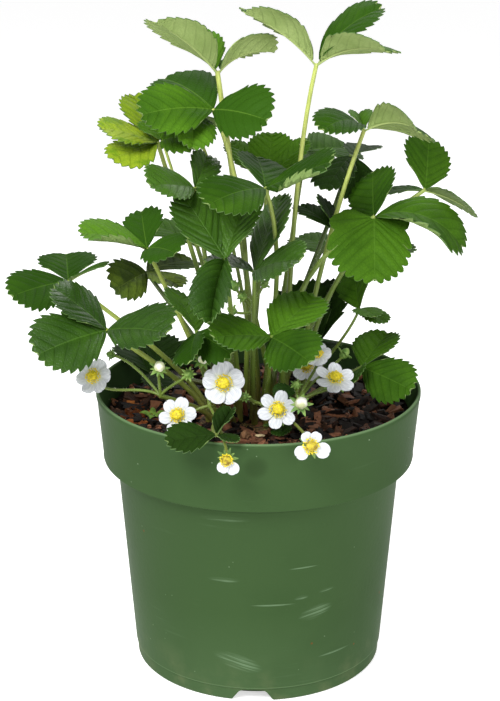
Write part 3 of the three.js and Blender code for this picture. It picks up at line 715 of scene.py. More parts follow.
# %% Rows and outline of the flat leaflet
# where the columns lie, from the midrib to the edge, and what each row of a tooth has: how far it
# is along the tooth, how far it stands out and how far it is from one side vein to the next
COLUMNS = (0, 0.1, 0.26, 0.45, 0.64, 0.82, 1)
SAW_TEETH = ((0, 0, 0), (0.22, 0.42, 0.2), (0.5, 0.8, 0.38), (0.72, 1, 0.5), (0.86, 0.46, 0.76))
ROUND_TEETH = ((0, 0, 0), (0.18, 0.66, 0.2), (0.42, 1, 0.4), (0.64, 0.98, 0.56), (0.86, 0.6, 0.8))


def vein_foot(along, lobe):
    """Where the side vein to a point of the edge leaves the midrib: a fan near the base."""
    return max(0, along) ** (6 if lobe else 3.6)


def outline_at(share, half_width, lobe):
    """Distance along and half width of the smooth outline, for a leaflet of length 1.

    A lobe makes the base heart shaped: the outline is rounder and starts behind the joint.
    """
    along = math.sin(share * math.pi / 2)
    power, fullest = (0.5, 2) if lobe else (0.95, 2.55)
    half = half_width * fullest * along ** power * math.sqrt(max(0, 1 - along))
    back = lobe * math.sin(math.pi * min(1, (along + 0.01) / 0.45)) ** 0.7
    return along - back, half


def leaflet_rows(teeth, half_width, tooth_height, lobe):
    """Rows of (midrib, edge along, edge half width, vein number) from the base to the tip."""
    rows = [(0, 0, 0.014, 0.0)]
    steps = ROUND_TEETH if lobe else SAW_TEETH
    # the edge has no teeth up to this share, and beyond the second one it is the tip
    first, last = (0.14 if lobe else 0.2), 0.985
    for share in (first * 0.25, first * 0.5, first * 0.75):
        along, half = outline_at(share, half_width, lobe)
        rows.append((vein_foot(along, lobe), along, half + 0.012, share / first))
    pitch = (last - first) / teeth
    for tooth in range(teeth):
        height = tooth_height * (1 - 0.3 * tooth / teeth)
        for ahead, rise, vein in steps:
            share = first + pitch * (tooth + ahead)
            along, half = outline_at(share, half_width, lobe)
            next_along, next_half = outline_at(share + 0.01, half_width, lobe)
            out = Vector((half - next_half, next_along - along)).normalized()
            lean = Vector((0.5, 0.4)) if lobe else Vector((1.1, 0.7))
            out = (out + lean).normalized() * height * rise
            foot = vein_foot(along, lobe)
            rows.append((foot, along + out.x, half + out.y + 0.01, tooth + 1 + vein))
    along, half = outline_at(last, half_width, lobe)
    rows.append((vein_foot(along, lobe), along, half + 0.006, teeth + 1))
    rows.append((0.975, 0.992, 0.02, teeth + 1.3))
    rows.append((1.01, 1.012, 0.004, teeth + 1.5))
    return rows


def flat_leaflet(name, teeth, half_width, tooth_height, pleat, lobe=0):
    """The flat leaflet of length 1: its place along in x, across in y and its pleats in z."""
    rows = leaflet_rows(teeth, half_width, tooth_height, lobe)
    across = [-v for v in COLUMNS[:0:-1]] + list(COLUMNS)
    bpy.ops.object.select_all(action="DESELECT")
    bpy.ops.mesh.primitive_grid_add(
        x_subdivisions=len(rows) - 1, y_subdivisions=len(across) - 1, size=1, calc_uvs=True)
    sheet = bpy.context.object
    sheet.name = name
    mesh = sheet.data
    mesh.uv_layers[0].name = "veins"
    where = {}
    for vertex in mesh.vertices:
        row = round((vertex.co.x + 0.5) * (len(rows) - 1))
        column = round((vertex.co.y + 0.5) * (len(across) - 1))
        rib, along, half, vein = rows[row]
        share = across[column]
        reach = abs(share)
        bulge = math.cos(2 * math.pi * vein) * min(1, 4 * reach) * (1.1 - reach)
        if vein < 1:
            bulge *= vein
        vertex.co = (rib + (along - rib) * reach ** 1.15, half * share, pleat * bulge)
        where[vertex.index] = (vein, share)
    for loop in mesh.loops:
        mesh.uv_layers[0].data[loop.index].uv = where[loop.vertex_index]
    return sheet


wide_leaflet = flat_leaflet("wide_leaflet", 8, 0.43, 0.074, 0.009)
pleated_leaflet = flat_leaflet("pleated_leaflet", 9, 0.41, 0.062, 0.019)
small_leaflet = flat_leaflet("small_leaflet", 6, 0.40, 0.086, 0.009)
heart_leaflet = flat_leaflet("heart_leaflet", 8, 0.44, 0.085, 0.014, 0.3)
print("flat leaflets: 4, of", len(wide_leaflet.data.vertices), "points for the wide one")

# %% Bend a copy of the leaflet


def direction(compass, pitch):
    """A unit vector from a compass angle and a pitch above the level, in degrees."""
    level = math.cos(math.radians(pitch))
    turn = math.radians(compass)
    return Vector((level * math.cos(turn), level * math.sin(turn), math.sin(math.radians(pitch))))


class Arch:
    """The arched line of a leaflet's midrib, in millimetres."""

    def __init__(self, base, compass, pitch, length, roll, droop):
        self.base = base
        self.length = length
        self.chord = direction(compass, pitch)
        side = UP.cross(self.chord).normalized()
        self.side = Matrix.Rotation(math.radians(roll), 3, self.chord) @ side
        self.normal = self.chord.cross(self.side)
        self.bend = math.radians(max(droop, 1))
        self.radius = length / (2 * math.sin(self.bend / 2))

    def at(self, along):
        """The point of the midrib at a share of its length, its heading and the way up."""
        turn = self.bend * (along - 0.5)
        forward = self.length / 2 + self.radius * math.sin(turn)
        lift = self.radius * (math.cos(turn) - math.cos(self.bend / 2))
        heading = self.chord * math.cos(turn) - self.normal * math.sin(turn)
        up = self.chord * math.sin(turn) + self.normal * math.cos(turn)
        return self.base + self.chord * forward + self.normal * lift, heading, up


def bent_leaflet(flat, arch, stem, fold, slim=1, lopsided=0, rolled=None, tint=0.5):
    """A copy of a flat leaflet, folded along its midrib and laid on its arch.

    A leaflet at the side of a leaf is wider on its outer half, and some roll a margin up and
    over, which shows the pale underside.
    """
    piece = put_in_scene("leaflet", flat.data.copy())
    length = arch.length
    drift = rng.uniform(0, 6)
    for vertex in piece.data.vertices:
        along, across, rise = vertex.co
        along = stem + along * (1 - stem)
        point, _, up = arch.at(along)
        across *= length * slim * (1 - lopsided * (1 if across > 0 else -1)) * (1 - stem)
        reach = abs(across)
        ruffle = 0.014 * math.sin(8 * along + drift + (2 if across > 0 else 0))
        rise += ruffle * (reach / length * 2) ** 1.5
        spot = Vector((along * 3.4, across / length * 4.5, drift))
        uneven = min(1, reach / length * 8)
        rise = rise * (0.7 + noise.noise(spot * 1.7)) + 0.02 * noise.noise(spot) * uneven
        # the halves rise from the midrib, swell, and their margins hang
        hang = 1.15 * reach * reach / length * math.tan(math.radians(fold + 6))
        lift = reach * math.tan(math.radians(fold)) - hang
        if rolled and across * rolled[0] > 0:
            limit = (rolled[1] + (rolled[2] - rolled[1]) * along) * length
            turn_radius = 0.08 * length
            if reach > limit:
                swing = (reach - limit) / turn_radius
                reach = limit + turn_radius * math.sin(swing)
                lift += turn_radius * (1 - math.cos(swing))
        aside = arch.side * math.copysign(reach, across) * math.cos(math.radians(fold))
        vertex.co = (point + aside + up * (lift + rise * length)) * MM
    tints = [tint] * len(piece.data.vertices)
    piece.data.attributes.new("tint", "FLOAT", "POINT").data.foreach_set("value", tints)
    return piece


# %% [markdown]
# ### Leaf skins
#
# The top of a blade is deep green with a soft sheen. It is darker along the sunken veins and
# lighter on the swells between them: partly the leaf's own colour, partly painted shade in the
# grooves and a painted light on the swells. The underside is pale grey green, with the veins
# standing out. Both read the UV map of the leaflet: its first number counts the veins, so the
# veins are where it passes a half, and its second is the distance from the midrib. A fine net of
# cells fills in between, and a number of its own makes every leaflet a little lighter or darker
# than its neighbours. It is random, unless the table sets it to paint the light or shade on that
# leaflet.

# %% Leaf finishes


def blade_wires(start):
    """Masks of the side veins, the midrib and the fine net, and how far the next vein is."""
    count, share, _ = start.parts(start.node("ShaderNodeUVMap", {"uv_map": "veins"}))
    away = abs(share)
    off = abs(count.fract() - 0.5)
    veins = (off + away * 0.03).fall(0.0, 0.11)
    midrib = away.fall(0.008, 0.04)
    net = start.cells(start.places(), 520, "DISTANCE_TO_EDGE").fall(0.02, 0.16)
    return veins, midrib, net, off


def leaf_top(name, dark, light, vein, roughness=0.58, blotch=None, shine=0.05):
    """The upper skin of a leaf."""
    finish, start, shader = new_finish(name, roughness)
    shader.inputs["Specular IOR Level"].default_value = shine
    veins, midrib, net, off = blade_wires(start)
    place = start.places()
    tint = start.own_number("tint")
    cloud = start.grain(place, 48, 3)
    # off lightens the skin midway between the veins, a painted light on the swells; a set tint paints
    # the light or shade on its leaflet
    skin = start.mix(dark, light, (cloud * 0.85 + tint * 0.35 + off * 0.16 - 0.1).rise(0.15, 0.9))
    if blotch:
        skin = start.mix(skin, blotch, start.grain(place, 110, 4).rise(0.5, 0.68) * 0.8)
    # darker along the veins and the fine net: partly their own colour, partly painted shade in the
    # grooves
    skin = start.mix(skin, dark, (veins * 0.32).most(net * 0.22))
    skin = start.mix(skin, vein, midrib * 0.35)
    height = 1 - veins * 0.6 - net * 0.3 - midrib * 0.5
    fine = start.grain(place, 1500, 2)
    feed(
        shader,
        Base_Color=skin,
        Roughness=roughness + veins * 0.12 + fine * 0.14 - 0.06,
        Normal=relief(start, height + fine * 0.12, 0.00025),
    )
    return finish


def leaf_under(name, skin_colour, shade_colour):
    """The pale underside of a leaf."""
    finish, start, shader = new_finish(name, 0.65)
    shader.inputs["Specular IOR Level"].default_value = 0.08
    veins, midrib, net, _ = blade_wires(start)
    cloud = start.grain(start.places(), 60, 3)
    skin = start.mix(skin_colour, shade_colour, cloud.rise(0.35, 0.75) * 0.6)
    skin = start.mix(skin, shade_colour, (veins * 0.25).most(net * 0.2))
    skin = start.mix(skin, tone(172, 186, 120), midrib * 0.4)
    height = veins * 0.7 + net * 0.25 + midrib
    feed(shader, Base_Color=skin, Normal=relief(start, height, 0.00035))
    return finish


# shaded and deep are darker copies of the fresh green: painted shade for the sprouts and for leaves in
# the shade of others
TOPS = {
    "bright": leaf_top("leaf_top_bright", tone(42, 76, 12), tone(80, 122, 26), tone(104, 142, 50)),
    "fresh": leaf_top("leaf_top_fresh", tone(34, 64, 8), tone(66, 104, 20), tone(82, 120, 38)),
    "glossy": leaf_top("leaf_top_glossy", tone(34, 62, 12), tone(62, 98, 26), tone(82, 120, 42), 0.36,
                       None, 0.2),
    "shaded": leaf_top("leaf_top_shaded", tone(22, 44, 10), tone(44, 76, 20), tone(62, 94, 36), 0.45,
                       None, 0.1),
    "deep": leaf_top("leaf_top_deep", tone(18, 34, 6), tone(34, 58, 14), tone(48, 72, 26)),
    "olive": leaf_top("leaf_top_olive", tone(36, 54, 18), tone(110, 132, 44), tone(112, 132, 60), 0.6,
                      tone(48, 62, 28), 0.05),
    "lime": leaf_top("leaf_top_lime", tone(92, 122, 18), tone(154, 174, 44), tone(166, 182, 70), 0.55,
                     tone(84, 122, 24)),
}
# dull is a darker copy of the underside: painted shade for leaves in the shade of others
UNDERS = {
    "pale": leaf_under("leaf_under_pale", tone(150, 168, 104), tone(118, 140, 74)),
    "grey": leaf_under("leaf_under_grey", tone(116, 138, 80), tone(88, 110, 54)),
    "dull": leaf_under("leaf_under_dull", tone(74, 96, 44), tone(52, 72, 32)),
}
edge_finish, _ = even_finish("leaf_edge", 0.6, tone(68, 100, 38))
print("leaf skins:", len(TOPS), "tops and", len(UNDERS), "undersides")

# %% [markdown]
# ### Stalks
#
# A stalk is a round, hairy rod that bends as it grows. A Bezier curve with four control points
# draws it, found by the same rule as the solid's, and a bevel gives it its thickness before it
# is made a mesh. The silky hairs stand out from it all round, and each is a tiny spike with three
# sides. A hair system would draw them faster, but only a mesh is kept by the export.

# %% Stalk finish


def stalk_finish(name, low, high, red):
    """A green rod, paler towards the top and darker below, partly a painted shade, flushed red near its
    foot.
    """
    finish, start, shader = new_finish(name, 0.5)
    place = start.places()
    _, _, z = start.parts(place)
    strands = start.grain(start.stretched(place, (1, 1, 0.08)), 1400, 2)
    # paler above 205 to 275 mm: partly the stalks' own colour, partly painted shade on their lower parts
    # inside the plant
    skin = start.mix(low, high, z.rise(0.205, 0.275))
    skin = start.mix(skin, red, z.fall(0.135, 0.16) * 0.5)
    skin = start.mix(skin, low, strands.rise(0.45, 0.65) * 0.35)
    feed(shader, Base_Color=skin, Normal=relief(start, strands, 0.0002))
    return finish


# dark is a darker copy: painted shade for the stalks of leaves in the shade of others
STALKS = {
    "pale": stalk_finish("stalk_pale", tone(104, 124, 42), tone(176, 186, 96), tone(122, 92, 52)),
    "fresh": stalk_finish("stalk_fresh", tone(138, 154, 60), tone(172, 184, 92), tone(122, 92, 52)),
    "green": stalk_finish("stalk_green", tone(98, 120, 40), tone(156, 170, 78), tone(112, 80, 44)),
    "dark": stalk_finish("stalk_dark", tone(74, 94, 38), tone(100, 120, 52), tone(84, 58, 36)),
}
rib_finish, _ = even_finish("midrib_green", 0.6, tone(150, 166, 100))
hair_finish, _ = even_finish("silky_hair", 0.5, tone(200, 208, 170))
print("stalk finishes:", len(STALKS))

# %% Stalk pieces
# the ledge of a knob of the crown: its height, and how far from the middle the stalks stand
LEDGE = 133.3
LEDGE_RADIUS = 8.4


def stand_on(knob, compass):
    """Where a stalk stands on its knob of the crown, in millimetres."""
    x, y = KNOBS[knob]
    turn = math.radians(compass)
    return Vector((x + LEDGE_RADIUS * math.cos(turn), y + LEDGE_RADIUS * math.sin(turn), LEDGE))


def stalk_points(foot, end, bow, overrun):
    """The four control points of a stalk that rises upright and bows aside on the way."""
    span = end - foot
    first = foot + UP * span.length * 0.2
    second = foot + span * 0.65 + UP * span.length * 0.05 + Vector((bow[0], bow[1], 0))
    return foot, first, second, end + (end - second).normalized() * overrun


def on_curve(points, share):
    """The place and the heading at a share of the way along a curve of four points."""
    a, b, c, d = points
    rest = 1 - share
    place = a * rest ** 3 + b * 3 * rest ** 2 * share + c * 3 * rest * share ** 2 + d * share ** 3
    heading = (b - a) * rest ** 2 + (c - b) * 2 * rest * share + (d - c) * share ** 2
    return place, heading.normalized()


def rod(points, foot_radius, tip_radius, finish, turns=3):
    """A round rod along four control points, in millimetres."""
    bpy.ops.object.select_all(action="DESELECT")
    bpy.ops.curve.primitive_bezier_curve_add()
    curve = bpy.context.object
    data = curve.data
    data.bevel_depth = MM
    data.bevel_resolution = turns
    data.resolution_u = 14
    data.use_fill_caps = True
    data.twist_mode = "MINIMUM"
    start_point, end_point = data.splines[0].bezier_points
    a, b, c, d = (point * MM for point in points)
    for point, before, middle, after, radius in (
            (start_point, a * 2 - b, a, b, foot_radius), (end_point, c, d, d * 2 - c, tip_radius)):
        point.handle_left_type = point.handle_right_type = "FREE"
        point.co, point.handle_left, point.handle_right = middle, before, after
        point.radius = radius
    bpy.ops.object.convert(target="MESH")
    piece = bpy.context.object
    bpy.ops.object.shade_smooth()
    piece.data.materials.clear()
    piece.data.materials.append(finish)
    return piece


def hairs_along(points, radius, count, length):
    """Short spikes that stand out from a stalk all round, but not at its very foot."""
    corners, faces = [], []
    for _ in range(count):
        place, heading = on_curve(points, rng.uniform(0.12, 0.98))
        sideways = heading.orthogonal().normalized()
        out = Matrix.Rotation(rng.uniform(0, 2 * math.pi), 3, heading) @ sideways
        across = heading.cross(out)
        root = place + out * radius * 0.8
        tip = root + (out + heading * rng.uniform(-0.1, 0.5)) * length * rng.uniform(0.6, 1.2)
        first = len(corners)
        corners += [root + across * 0.05, root - across * 0.05 + heading * 0.04,
                    root - heading * 0.08, tip]
        faces += [(first, first + 1, first + 2), (first, first + 3, first + 1),
                  (first + 1, first + 3, first + 2), (first + 2, first + 3, first)]
    piece = mesh_piece("hairs", [corner * MM for corner in corners], faces)
    piece.data.materials.append(hair_finish)
    return piece


def one_piece(name, pieces):
    """Joins pieces into the first of them and gives it a name."""
    pick(*pieces)
    bpy.ops.object.join()
    pieces[0].name = name
    settle(pieces[0])
    return pieces[0]


# %% [markdown]
# ## Thirty leaves
#
# Each leaf is one joint in space with a stalk below it and three leaflets round it. The table
# has the feet and joints of the solids: the knob and the side of it where the stalk stands, and
# the joint in millimetres. Per leaflet it gives the compass angle, pitch, length, roll, droop,
# fold and how wide it is. The tips lie about 4 mm from the solids' and 16 mm at most, because they
# were tuned to the photo, and so was the bow of three stalks. The look says which skins a leaf
# has, because young leaves are lime and top leaves show their pale undersides. Leaves in the shade
# of others get a nearly black green top, and most of them a dull underside and a dark stalk:
# darker copies of the skins, a painted shade.

# %% Where the leaves are
# A look is the top skin, the underside and the stalk. Tints make a leaflet lighter (above 0) or
# darker (below 0) than the rest of its leaf: they paint the light or shade that falls on each
# leaflet. A rolled margin has the number of its leaflet, its side, and how far from the midrib the
# roll starts at the base and at the tip. Heart gives the number of the leaflet with a
# heart-shaped base.
LEAVES = [
    {"name": "leaf_top_right", "foot": ("rearRight", 270), "joint": (28, 9, 308), "stem": 0.06,
     "bow": (-7, 5), "look": ("bright", "pale", "pale"), "tints": (0, -0.4, 0),
     "blades": ((-160, 36, 44, 15, 29, 30, 0.92), (3, 41, 40, 11, 45, 13, 1.0),
                (-41, 15, 42, -24, 50, 24, 0.98))},
    {"name": "leaf_top_left", "foot": ("rearLeft", 20), "joint": (-20, 5, 305), "stalk": 1.4,
     "stem": 0.06, "look": ("bright", "pale", "pale"),
     "blades": ((-145, 38, 43, 14, 25, 20, 1.0), (34, 11, 33, -38, 58, 36, 1.0),
                (120, 35, 28, 0, 20, 14, 0.94))},
    {"name": "leaf_upper_left", "foot": ("rearLeft", 280), "joint": (-22, -2, 288), "bow": (17, -11),
     "look": ("bright", "grey", "pale"), "tints": (0.2, -0.9, -0.9),
     "blades": ((-156, 1, 36, -34, 34, 15, 0.99), (134, 16, 36, -9, 31, 13, 1.04),
                (-40, -1, 33, 45, 36, 12, 1.01))},
    {"name": "leaf_young_yellow", "foot": ("rearLeft", 210), "joint": (-50, 15, 268),
     "look": ("lime", "grey", "green"), "slot": "young_leaf",
     "blades": ((-160, 18, 30, -14, 14, 13, 1.01), (-141, -9, 27, -16, 11, 5, 1.09),
                (120, 37, 31, 4, 9, 17, 0.98))},
    {"name": "leaf_upper_left_small", "foot": ("rearLeft", 245), "joint": (-47, 5, 271), "stalk": 0.8,
     "look": ("bright", "grey", "green"),
     "blades": ((-45, 3, 25, 22, 59, 15, 0.96), (126, 26, 16, 0, 20, 14, 0.94),
                (55, 15, 24, 0, 20, 14, 0.94))},
    {"name": "leaf_upper_left_under", "foot": ("rearLeft", 320), "joint": (-34, 6, 284), "stalk": 0.9,
     "bow": (9, 12), "look": ("bright", "grey", "green"),
     "blades": ((-85, -21, 29, -13, 50, 26, 0.89), (150, 0, 26, 0, 30, 14, 0.94),
                (50, -25, 21, 0, 30, 14, 0.94))},
    {"name": "leaf_dark_left", "foot": ("frontLeft", 95), "joint": (-31, -14, 252),
     "look": ("glossy", "grey", "green"), "slot": "dark_leaf", "tints": (1.4, 0.6, 0),
     "blades": ((-135, 13, 29, -31, 20, 18, 0.97), (74, 31, 22, 36, 34, 28, 0.93),
                (-41, -5, 25, 5, 30, 16, 0.98))},
    {"name": "leaf_centre_broad", "foot": ("frontRight", 110), "joint": (3, -26, 255), "bow": (14, -6),
     "rolled": (0, -1, 0.34, 0.2), "tints": (-0.2, 0.1, -0.5),
     "blades": ((-30, 26, 38, 22, 6, 5, 0.96), (-138, -3, 35, -20, 32, 12, 0.97),
                (98, 16, 30, 22, 20, 12, 0.99))},
    {"name": "leaf_front_glossy", "foot": ("frontLeft", 340), "joint": (-16, -38, 223),
     "look": ("glossy", "grey", "green"), "pleated": True, "tints": (0.4, 2.2, -0.2),
     "blades": ((140, 45, 38, -12, 6, 3, 0.78), (60, 51, 33, -13, 10, 20, 0.95),
                (-102, -35, 37, 10, 27, 51, 0.98))},
    {"name": "leaf_centre_pleated", "foot": ("frontRight", 165), "joint": (-2, -24, 213),
     "look": ("glossy", "grey", "green"), "pleated": True, "tints": (0.4, 1.1, 0),
     "blades": ((-48, 22, 34, 29, 26, 15, 1.01), (57, 53, 40, -34, 5, 5, 0.97),
                (160, 10, 24, 0, 20, 14, 0.94))},
    {"name": "leaf_front_centre", "foot": ("frontRight", 260), "joint": (6, -50, 188), "pleated": True,
     "tints": (1.5, 0, 0.7),
     "blades": ((47, 22, 34, 6, 14, 10, 1.0), (-59, -4, 33, 28, 22, 16, 0.99),
                (-148, 10, 32, -23, 20, 15, 0.99))},
    {"name": "leaf_front_left", "foot": ("frontLeft", 200), "joint": (-74, -30, 185), "stalk": 1.3,
     "look": ("glossy", "grey", "fresh"), "tints": (-0.3, 0.2, 0.1),
     "blades": ((172, 38, 32, -12, 16, 10, 1.0), (-142, -6, 39, -34, 23, 17, 1.0),
                (-36, 9, 37, 25, 21, 15, 1.0))},
    {"name": "leaf_far_left", "foot": ("frontLeft", 165), "joint": (-95, 0, 201),
     "look": ("fresh", "grey", "fresh"), "tints": (-0.4, -0.2, 0),
     "blades": ((-142, -3, 32, -27, 18, 12, 0.98), (97, 8, 32, -2, 27, 14, 1.0),
                (-28, 26, 23, 2, 20, 15, 0.95))},
    {"name": "leaf_mid_left", "foot": ("frontLeft", 130), "joint": (-55, -5, 219),
     "look": ("bright", "grey", "fresh"), "rolled": (0, 1, 0.2, 0.32), "tints": (1.5, -0.8, -0.4),
     "blades": ((-161, 18, 34, -13, 32, 17, 1.0), (99, 27, 27, -20, 16, 21, 0.92),
                (-57, 9, 27, 26, 30, 16, 1.03))},
    {"name": "leaf_olive_left", "foot": ("rearLeft", 175), "joint": (-57, 19, 200),
     "look": ("olive", "dull", "dark"), "slot": "dark_leaf",
     "blades": ((-124, -6, 26, -50, 35, 16, 1.01), (42, 0, 30, 5, 21, 14, 1.0),
                (-44, -7, 23, -4, 20, 15, 0.98))},
    {"name": "leaf_low_left", "foot": ("frontLeft", 30), "joint": (-30, -33, 185),
     "look": ("fresh", "pale", "green"), "rolled": (2, 1, 0.25, 0.25), "tints": (0.6, -1.2, -0.3),
     "blades": ((117, 31, 28, 33, 5, 5, 0.99), (-95, -14, 25, 39, 21, 21, 0.94),
                (-50, -9, 26, 41, 16, 11, 0.95))},
    {"name": "leaf_upper_right", "foot": ("rearRight", 310), "joint": (52, 12, 275), "stem": 0.05,
     "bow": (-5, -5), "look": ("fresh", "pale", "pale"), "tints": (0, 0, 0.8),
     "blades": ((-134, 9, 30, -16, 78, 12, 0.95), (-51, 9, 37, -40, 60, 20, 1.02),
                (95, 10, 20, 0, 20, 40, 0.94))},
    {"name": "leaf_right_broad", "foot": ("frontRight", 20), "joint": (56, -15, 238), "stalk": 1.3,
     "bow": (-38, -4), "heart": 1, "rolled": (2, -1, 0.14, 0.4), "tints": (0, 0.8, 0.6),
     "blades": ((88, 28, 32, -39, 6, 4, 0.95), (-92, -38, 37, 0, 6, 8, 1.06),
                (-13, -16, 44, 13, 92, 13, 0.9))},
    {"name": "leaf_far_right", "foot": ("rearRight", 345), "joint": (83, 15, 244), "bow": (-30, -2),
     "tints": (0.6, 1.4, 0),
     "blades": ((82, 43, 30, 34, 10, 6, 0.97), (-37, -14, 29, -36, 24, 6, 0.95),
                (160, -10, 22, 0, 20, 14, 0.94))},
    {"name": "leaf_young_back", "foot": ("rearLeft", 60), "joint": (5, 31, 245), "pleated": True,
     "tints": (1.4, 1.4, 1.4),
     "blades": ((145, 35, 28, 0, 10, 14, 0.94), (85, 40, 29, 0, 10, 14, 0.94),
                (25, 40, 28, 0, 10, 14, 0.94))},
    {"name": "leaf_back_upper", "foot": ("rearRight", 140), "joint": (24, 49, 256),
     "blades": ((45, -8, 35, 19, 17, 15, 0.96), (100, -3, 27, 0, 20, 15, 0.97),
                (-70, -15, 20, 0, 20, 14, 0.94))},
    {"name": "leaf_back_shaded", "foot": ("rearRight", 180), "joint": (47, 34, 257), "bow": (5, 5),
     "look": ("deep", "dull", "dark"), "slot": "dark_leaf",
     "blades": ((-122, -26, 27, 0, 20, 15, 0.98), (-75, -48, 26, 0, 20, 14, 0.94),
                (65, 0, 24, 0, 20, 14, 0.94))},
    {"name": "leaf_low_right", "foot": ("frontRight", 340), "joint": (52, -5, 157), "tints": (1, 0.3, 0),
     "blades": ((58, 20, 29, -5, 11, 19, 0.95), (-42, -8, 31, 39, 19, 13, 0.9),
                (-101, -1, 19, 44, 22, 18, 0.98))},
    {"name": "leaf_mid_right", "foot": ("rearRight", 20), "joint": (51, 7, 184), "stalk": 0.8,
     "bow": (5, -5),
     "blades": ((91, 36, 27, -43, 18, 15, 0.94), (-70, 5, 18, 0, 30, 14, 0.94),
                (-44, -11, 17, 2, 19, 14, 0.98))},
    {"name": "leaf_back_low_right", "foot": ("rearRight", 65), "joint": (31, 35, 155),
     "look": ("deep", "dull", "dark"), "slot": "dark_leaf",
     "blades": ((82, 47, 36, -20, 18, 20, 1.08), (124, 55, 34, -31, 18, 30, 1.08),
                (-79, 15, 25, 0, 20, 14, 0.84))},
    {"name": "leaf_rim_front", "foot": ("frontLeft", 305), "joint": (-20, -80, 150), "stalk": 1,
     "bow": (-10, -2), "look": ("deep", "grey", "green"),
     "blades": ((-162, -2, 23, -21, 22, 15, 1.01), (61, 28, 16, -3, 6, 44, 1.0),
                (-30, -5, 11, 0, 20, 14, 0.94))},
    {"name": "leaf_right_small", "foot": ("frontRight", 60), "joint": (38, 8, 225), "stalk": 0.8,
     "bow": (-10, -3), "look": ("deep", "dull", "dark"), "slot": "dark_leaf",
     "blades": ((137, 20, 24, 6, 18, 17, 0.98), (107, 34, 21, 41, 9, 16, 0.94),
                (50, -5, 22, 0, 20, 14, 0.94))},
    {"name": "leaf_back_low_left", "foot": ("rearLeft", 140), "joint": (-56, 28, 142),
     "look": ("deep", "dull", "dark"), "slot": "dark_leaf",
     "blades": ((127, 19, 26, 6, 21, 14, 0.98), (75, 30, 26, 0, 20, 14, 0.94),
                (-70, 0, 22, 0, 20, 14, 0.94))},
    {"name": "leaf_rear_left", "foot": ("rearLeft", 100), "joint": (-32, 50, 205),
     "blades": ((155, 15, 32, 0, 25, 14, 0.94), (90, 5, 36, 0, 25, 14, 0.94),
                (25, 10, 32, 0, 25, 14, 0.94))},
    {"name": "leaf_rear_right", "foot": ("rearRight", 100), "joint": (48, 55, 196),
     "blades": ((140, 10, 34, 0, 25, 14, 0.94), (70, 5, 36, 0, 25, 14, 0.94),
                (0, 10, 34, 0, 25, 14, 0.94))},
]
print("leaves in the table:", len(LEAVES))

# %% Make the leaves
SMALL_LEAFLET = 28
BLADE_THICKNESS = 0.45
LEAF_HAIRS = 140


def pattern_for(length, pleated, heart):
    """The flat leaflet that a leaflet of this length and kind is bent from."""
    if heart:
        return heart_leaflet
    if length < SMALL_LEAFLET:
        return small_leaflet
    return pleated_leaflet if pleated else wide_leaflet


def midrib(arch, radius):
    """The rod under a leaflet's fold, from its base to four fifths of its length."""
    foot, foot_heading, foot_up = arch.at(0)
    tip, tip_heading, tip_up = arch.at(0.8)
    third = arch.length * 0.8 / 3
    foot = foot - foot_up * 0.5
    tip = tip - tip_up * 0.36
    return rod((foot, foot + foot_heading * third, tip - tip_heading * third, tip), radius, 0.14,
               rib_finish, 1)


def skin_blades(piece, top, under):
    """Gives flat leaflets their thickness, with skins for the top, the underside and the edge."""
    piece.data.materials.clear()
    for finish in (TOPS[top], UNDERS[under], edge_finish):
        piece.data.materials.append(finish)
    use_modifier(piece, "SOLIDIFY", thickness=BLADE_THICKNESS * MM, offset=0, material_offset=1,
                 material_offset_rim=2)


def make_leaf(name, foot, joint, blades, stalk=1.2, bow=(0, 0), stem=0, slot="leaf", pleated=False,
              look=("fresh", "grey", "green"), tints=None, rolled=None, heart=None):
    """One leaf: its stalk with hairs, its three bent leaflets and their midribs, as one piece."""
    top, under, rod_look = look
    end = Vector(joint)
    middle = sum((direction(blade[0], blade[1]) for blade in blades), Vector()).normalized()
    leaflets, ribs = [], []
    for number, (compass, pitch, length, roll, droop, fold, slim) in enumerate(blades):
        flat = pattern_for(length, pleated, number == heart)
        base = end + direction(compass, pitch) * stalk * 0.4
        arch = Arch(base, compass, pitch, length, roll, droop)
        # a leaflet at the side is wider on the half that faces away from the middle one
        inward = max(-1, min(1, 1.3 * arch.side.dot(middle)))
        roll_of = rolled[1:] if rolled and rolled[0] == number else None
        # a set tint paints the light or shade on its leaflet; without one the tint is random
        tint = tints[number] if tints else rng.random()
        leaflets.append(bent_leaflet(flat, arch, stem, fold, slim, 0.12 * inward, roll_of, tint))
        ribs.append(midrib(arch, 0.55 if stem else 0.45))
    leaf = one_piece(name + "_grown", leaflets)
    skin_blades(leaf, top, under)
    smooth(leaf, 60)
    points = stalk_points(stand_on(*foot), end, bow, 0.6)
    pieces = [leaf, rod(points, stalk * 1.16, stalk * 0.86, STALKS[rod_look]), *ribs]
    pieces.append(hairs_along(points, stalk * 0.94, LEAF_HAIRS, 1.1))
    leaf = one_piece(name + "_grown", pieces)
    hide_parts(name)
    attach(leaf, "root")
    return leaf


leaves = [make_leaf(**row) for row in LEAVES]
print("leaves:", len(leaves), "faces:", sum(len(leaf.data.polygons) for leaf in leaves))

# %% [markdown]
# ## One petal, one sepal, one bead
#
# A strawberry flower is nearly flat: five or six round white petals that overlap like tiles,
# round a yellow dome of tiny styles with a ring of stamens. Behind them stand five green sepals
# and five smaller ones. As with the leaves, one petal and one sepal are modelled flat, and the
# flowers are made of bent copies. Styles and stamens are copies of one small bead.

# %% Flat petal, flat sepal and bead


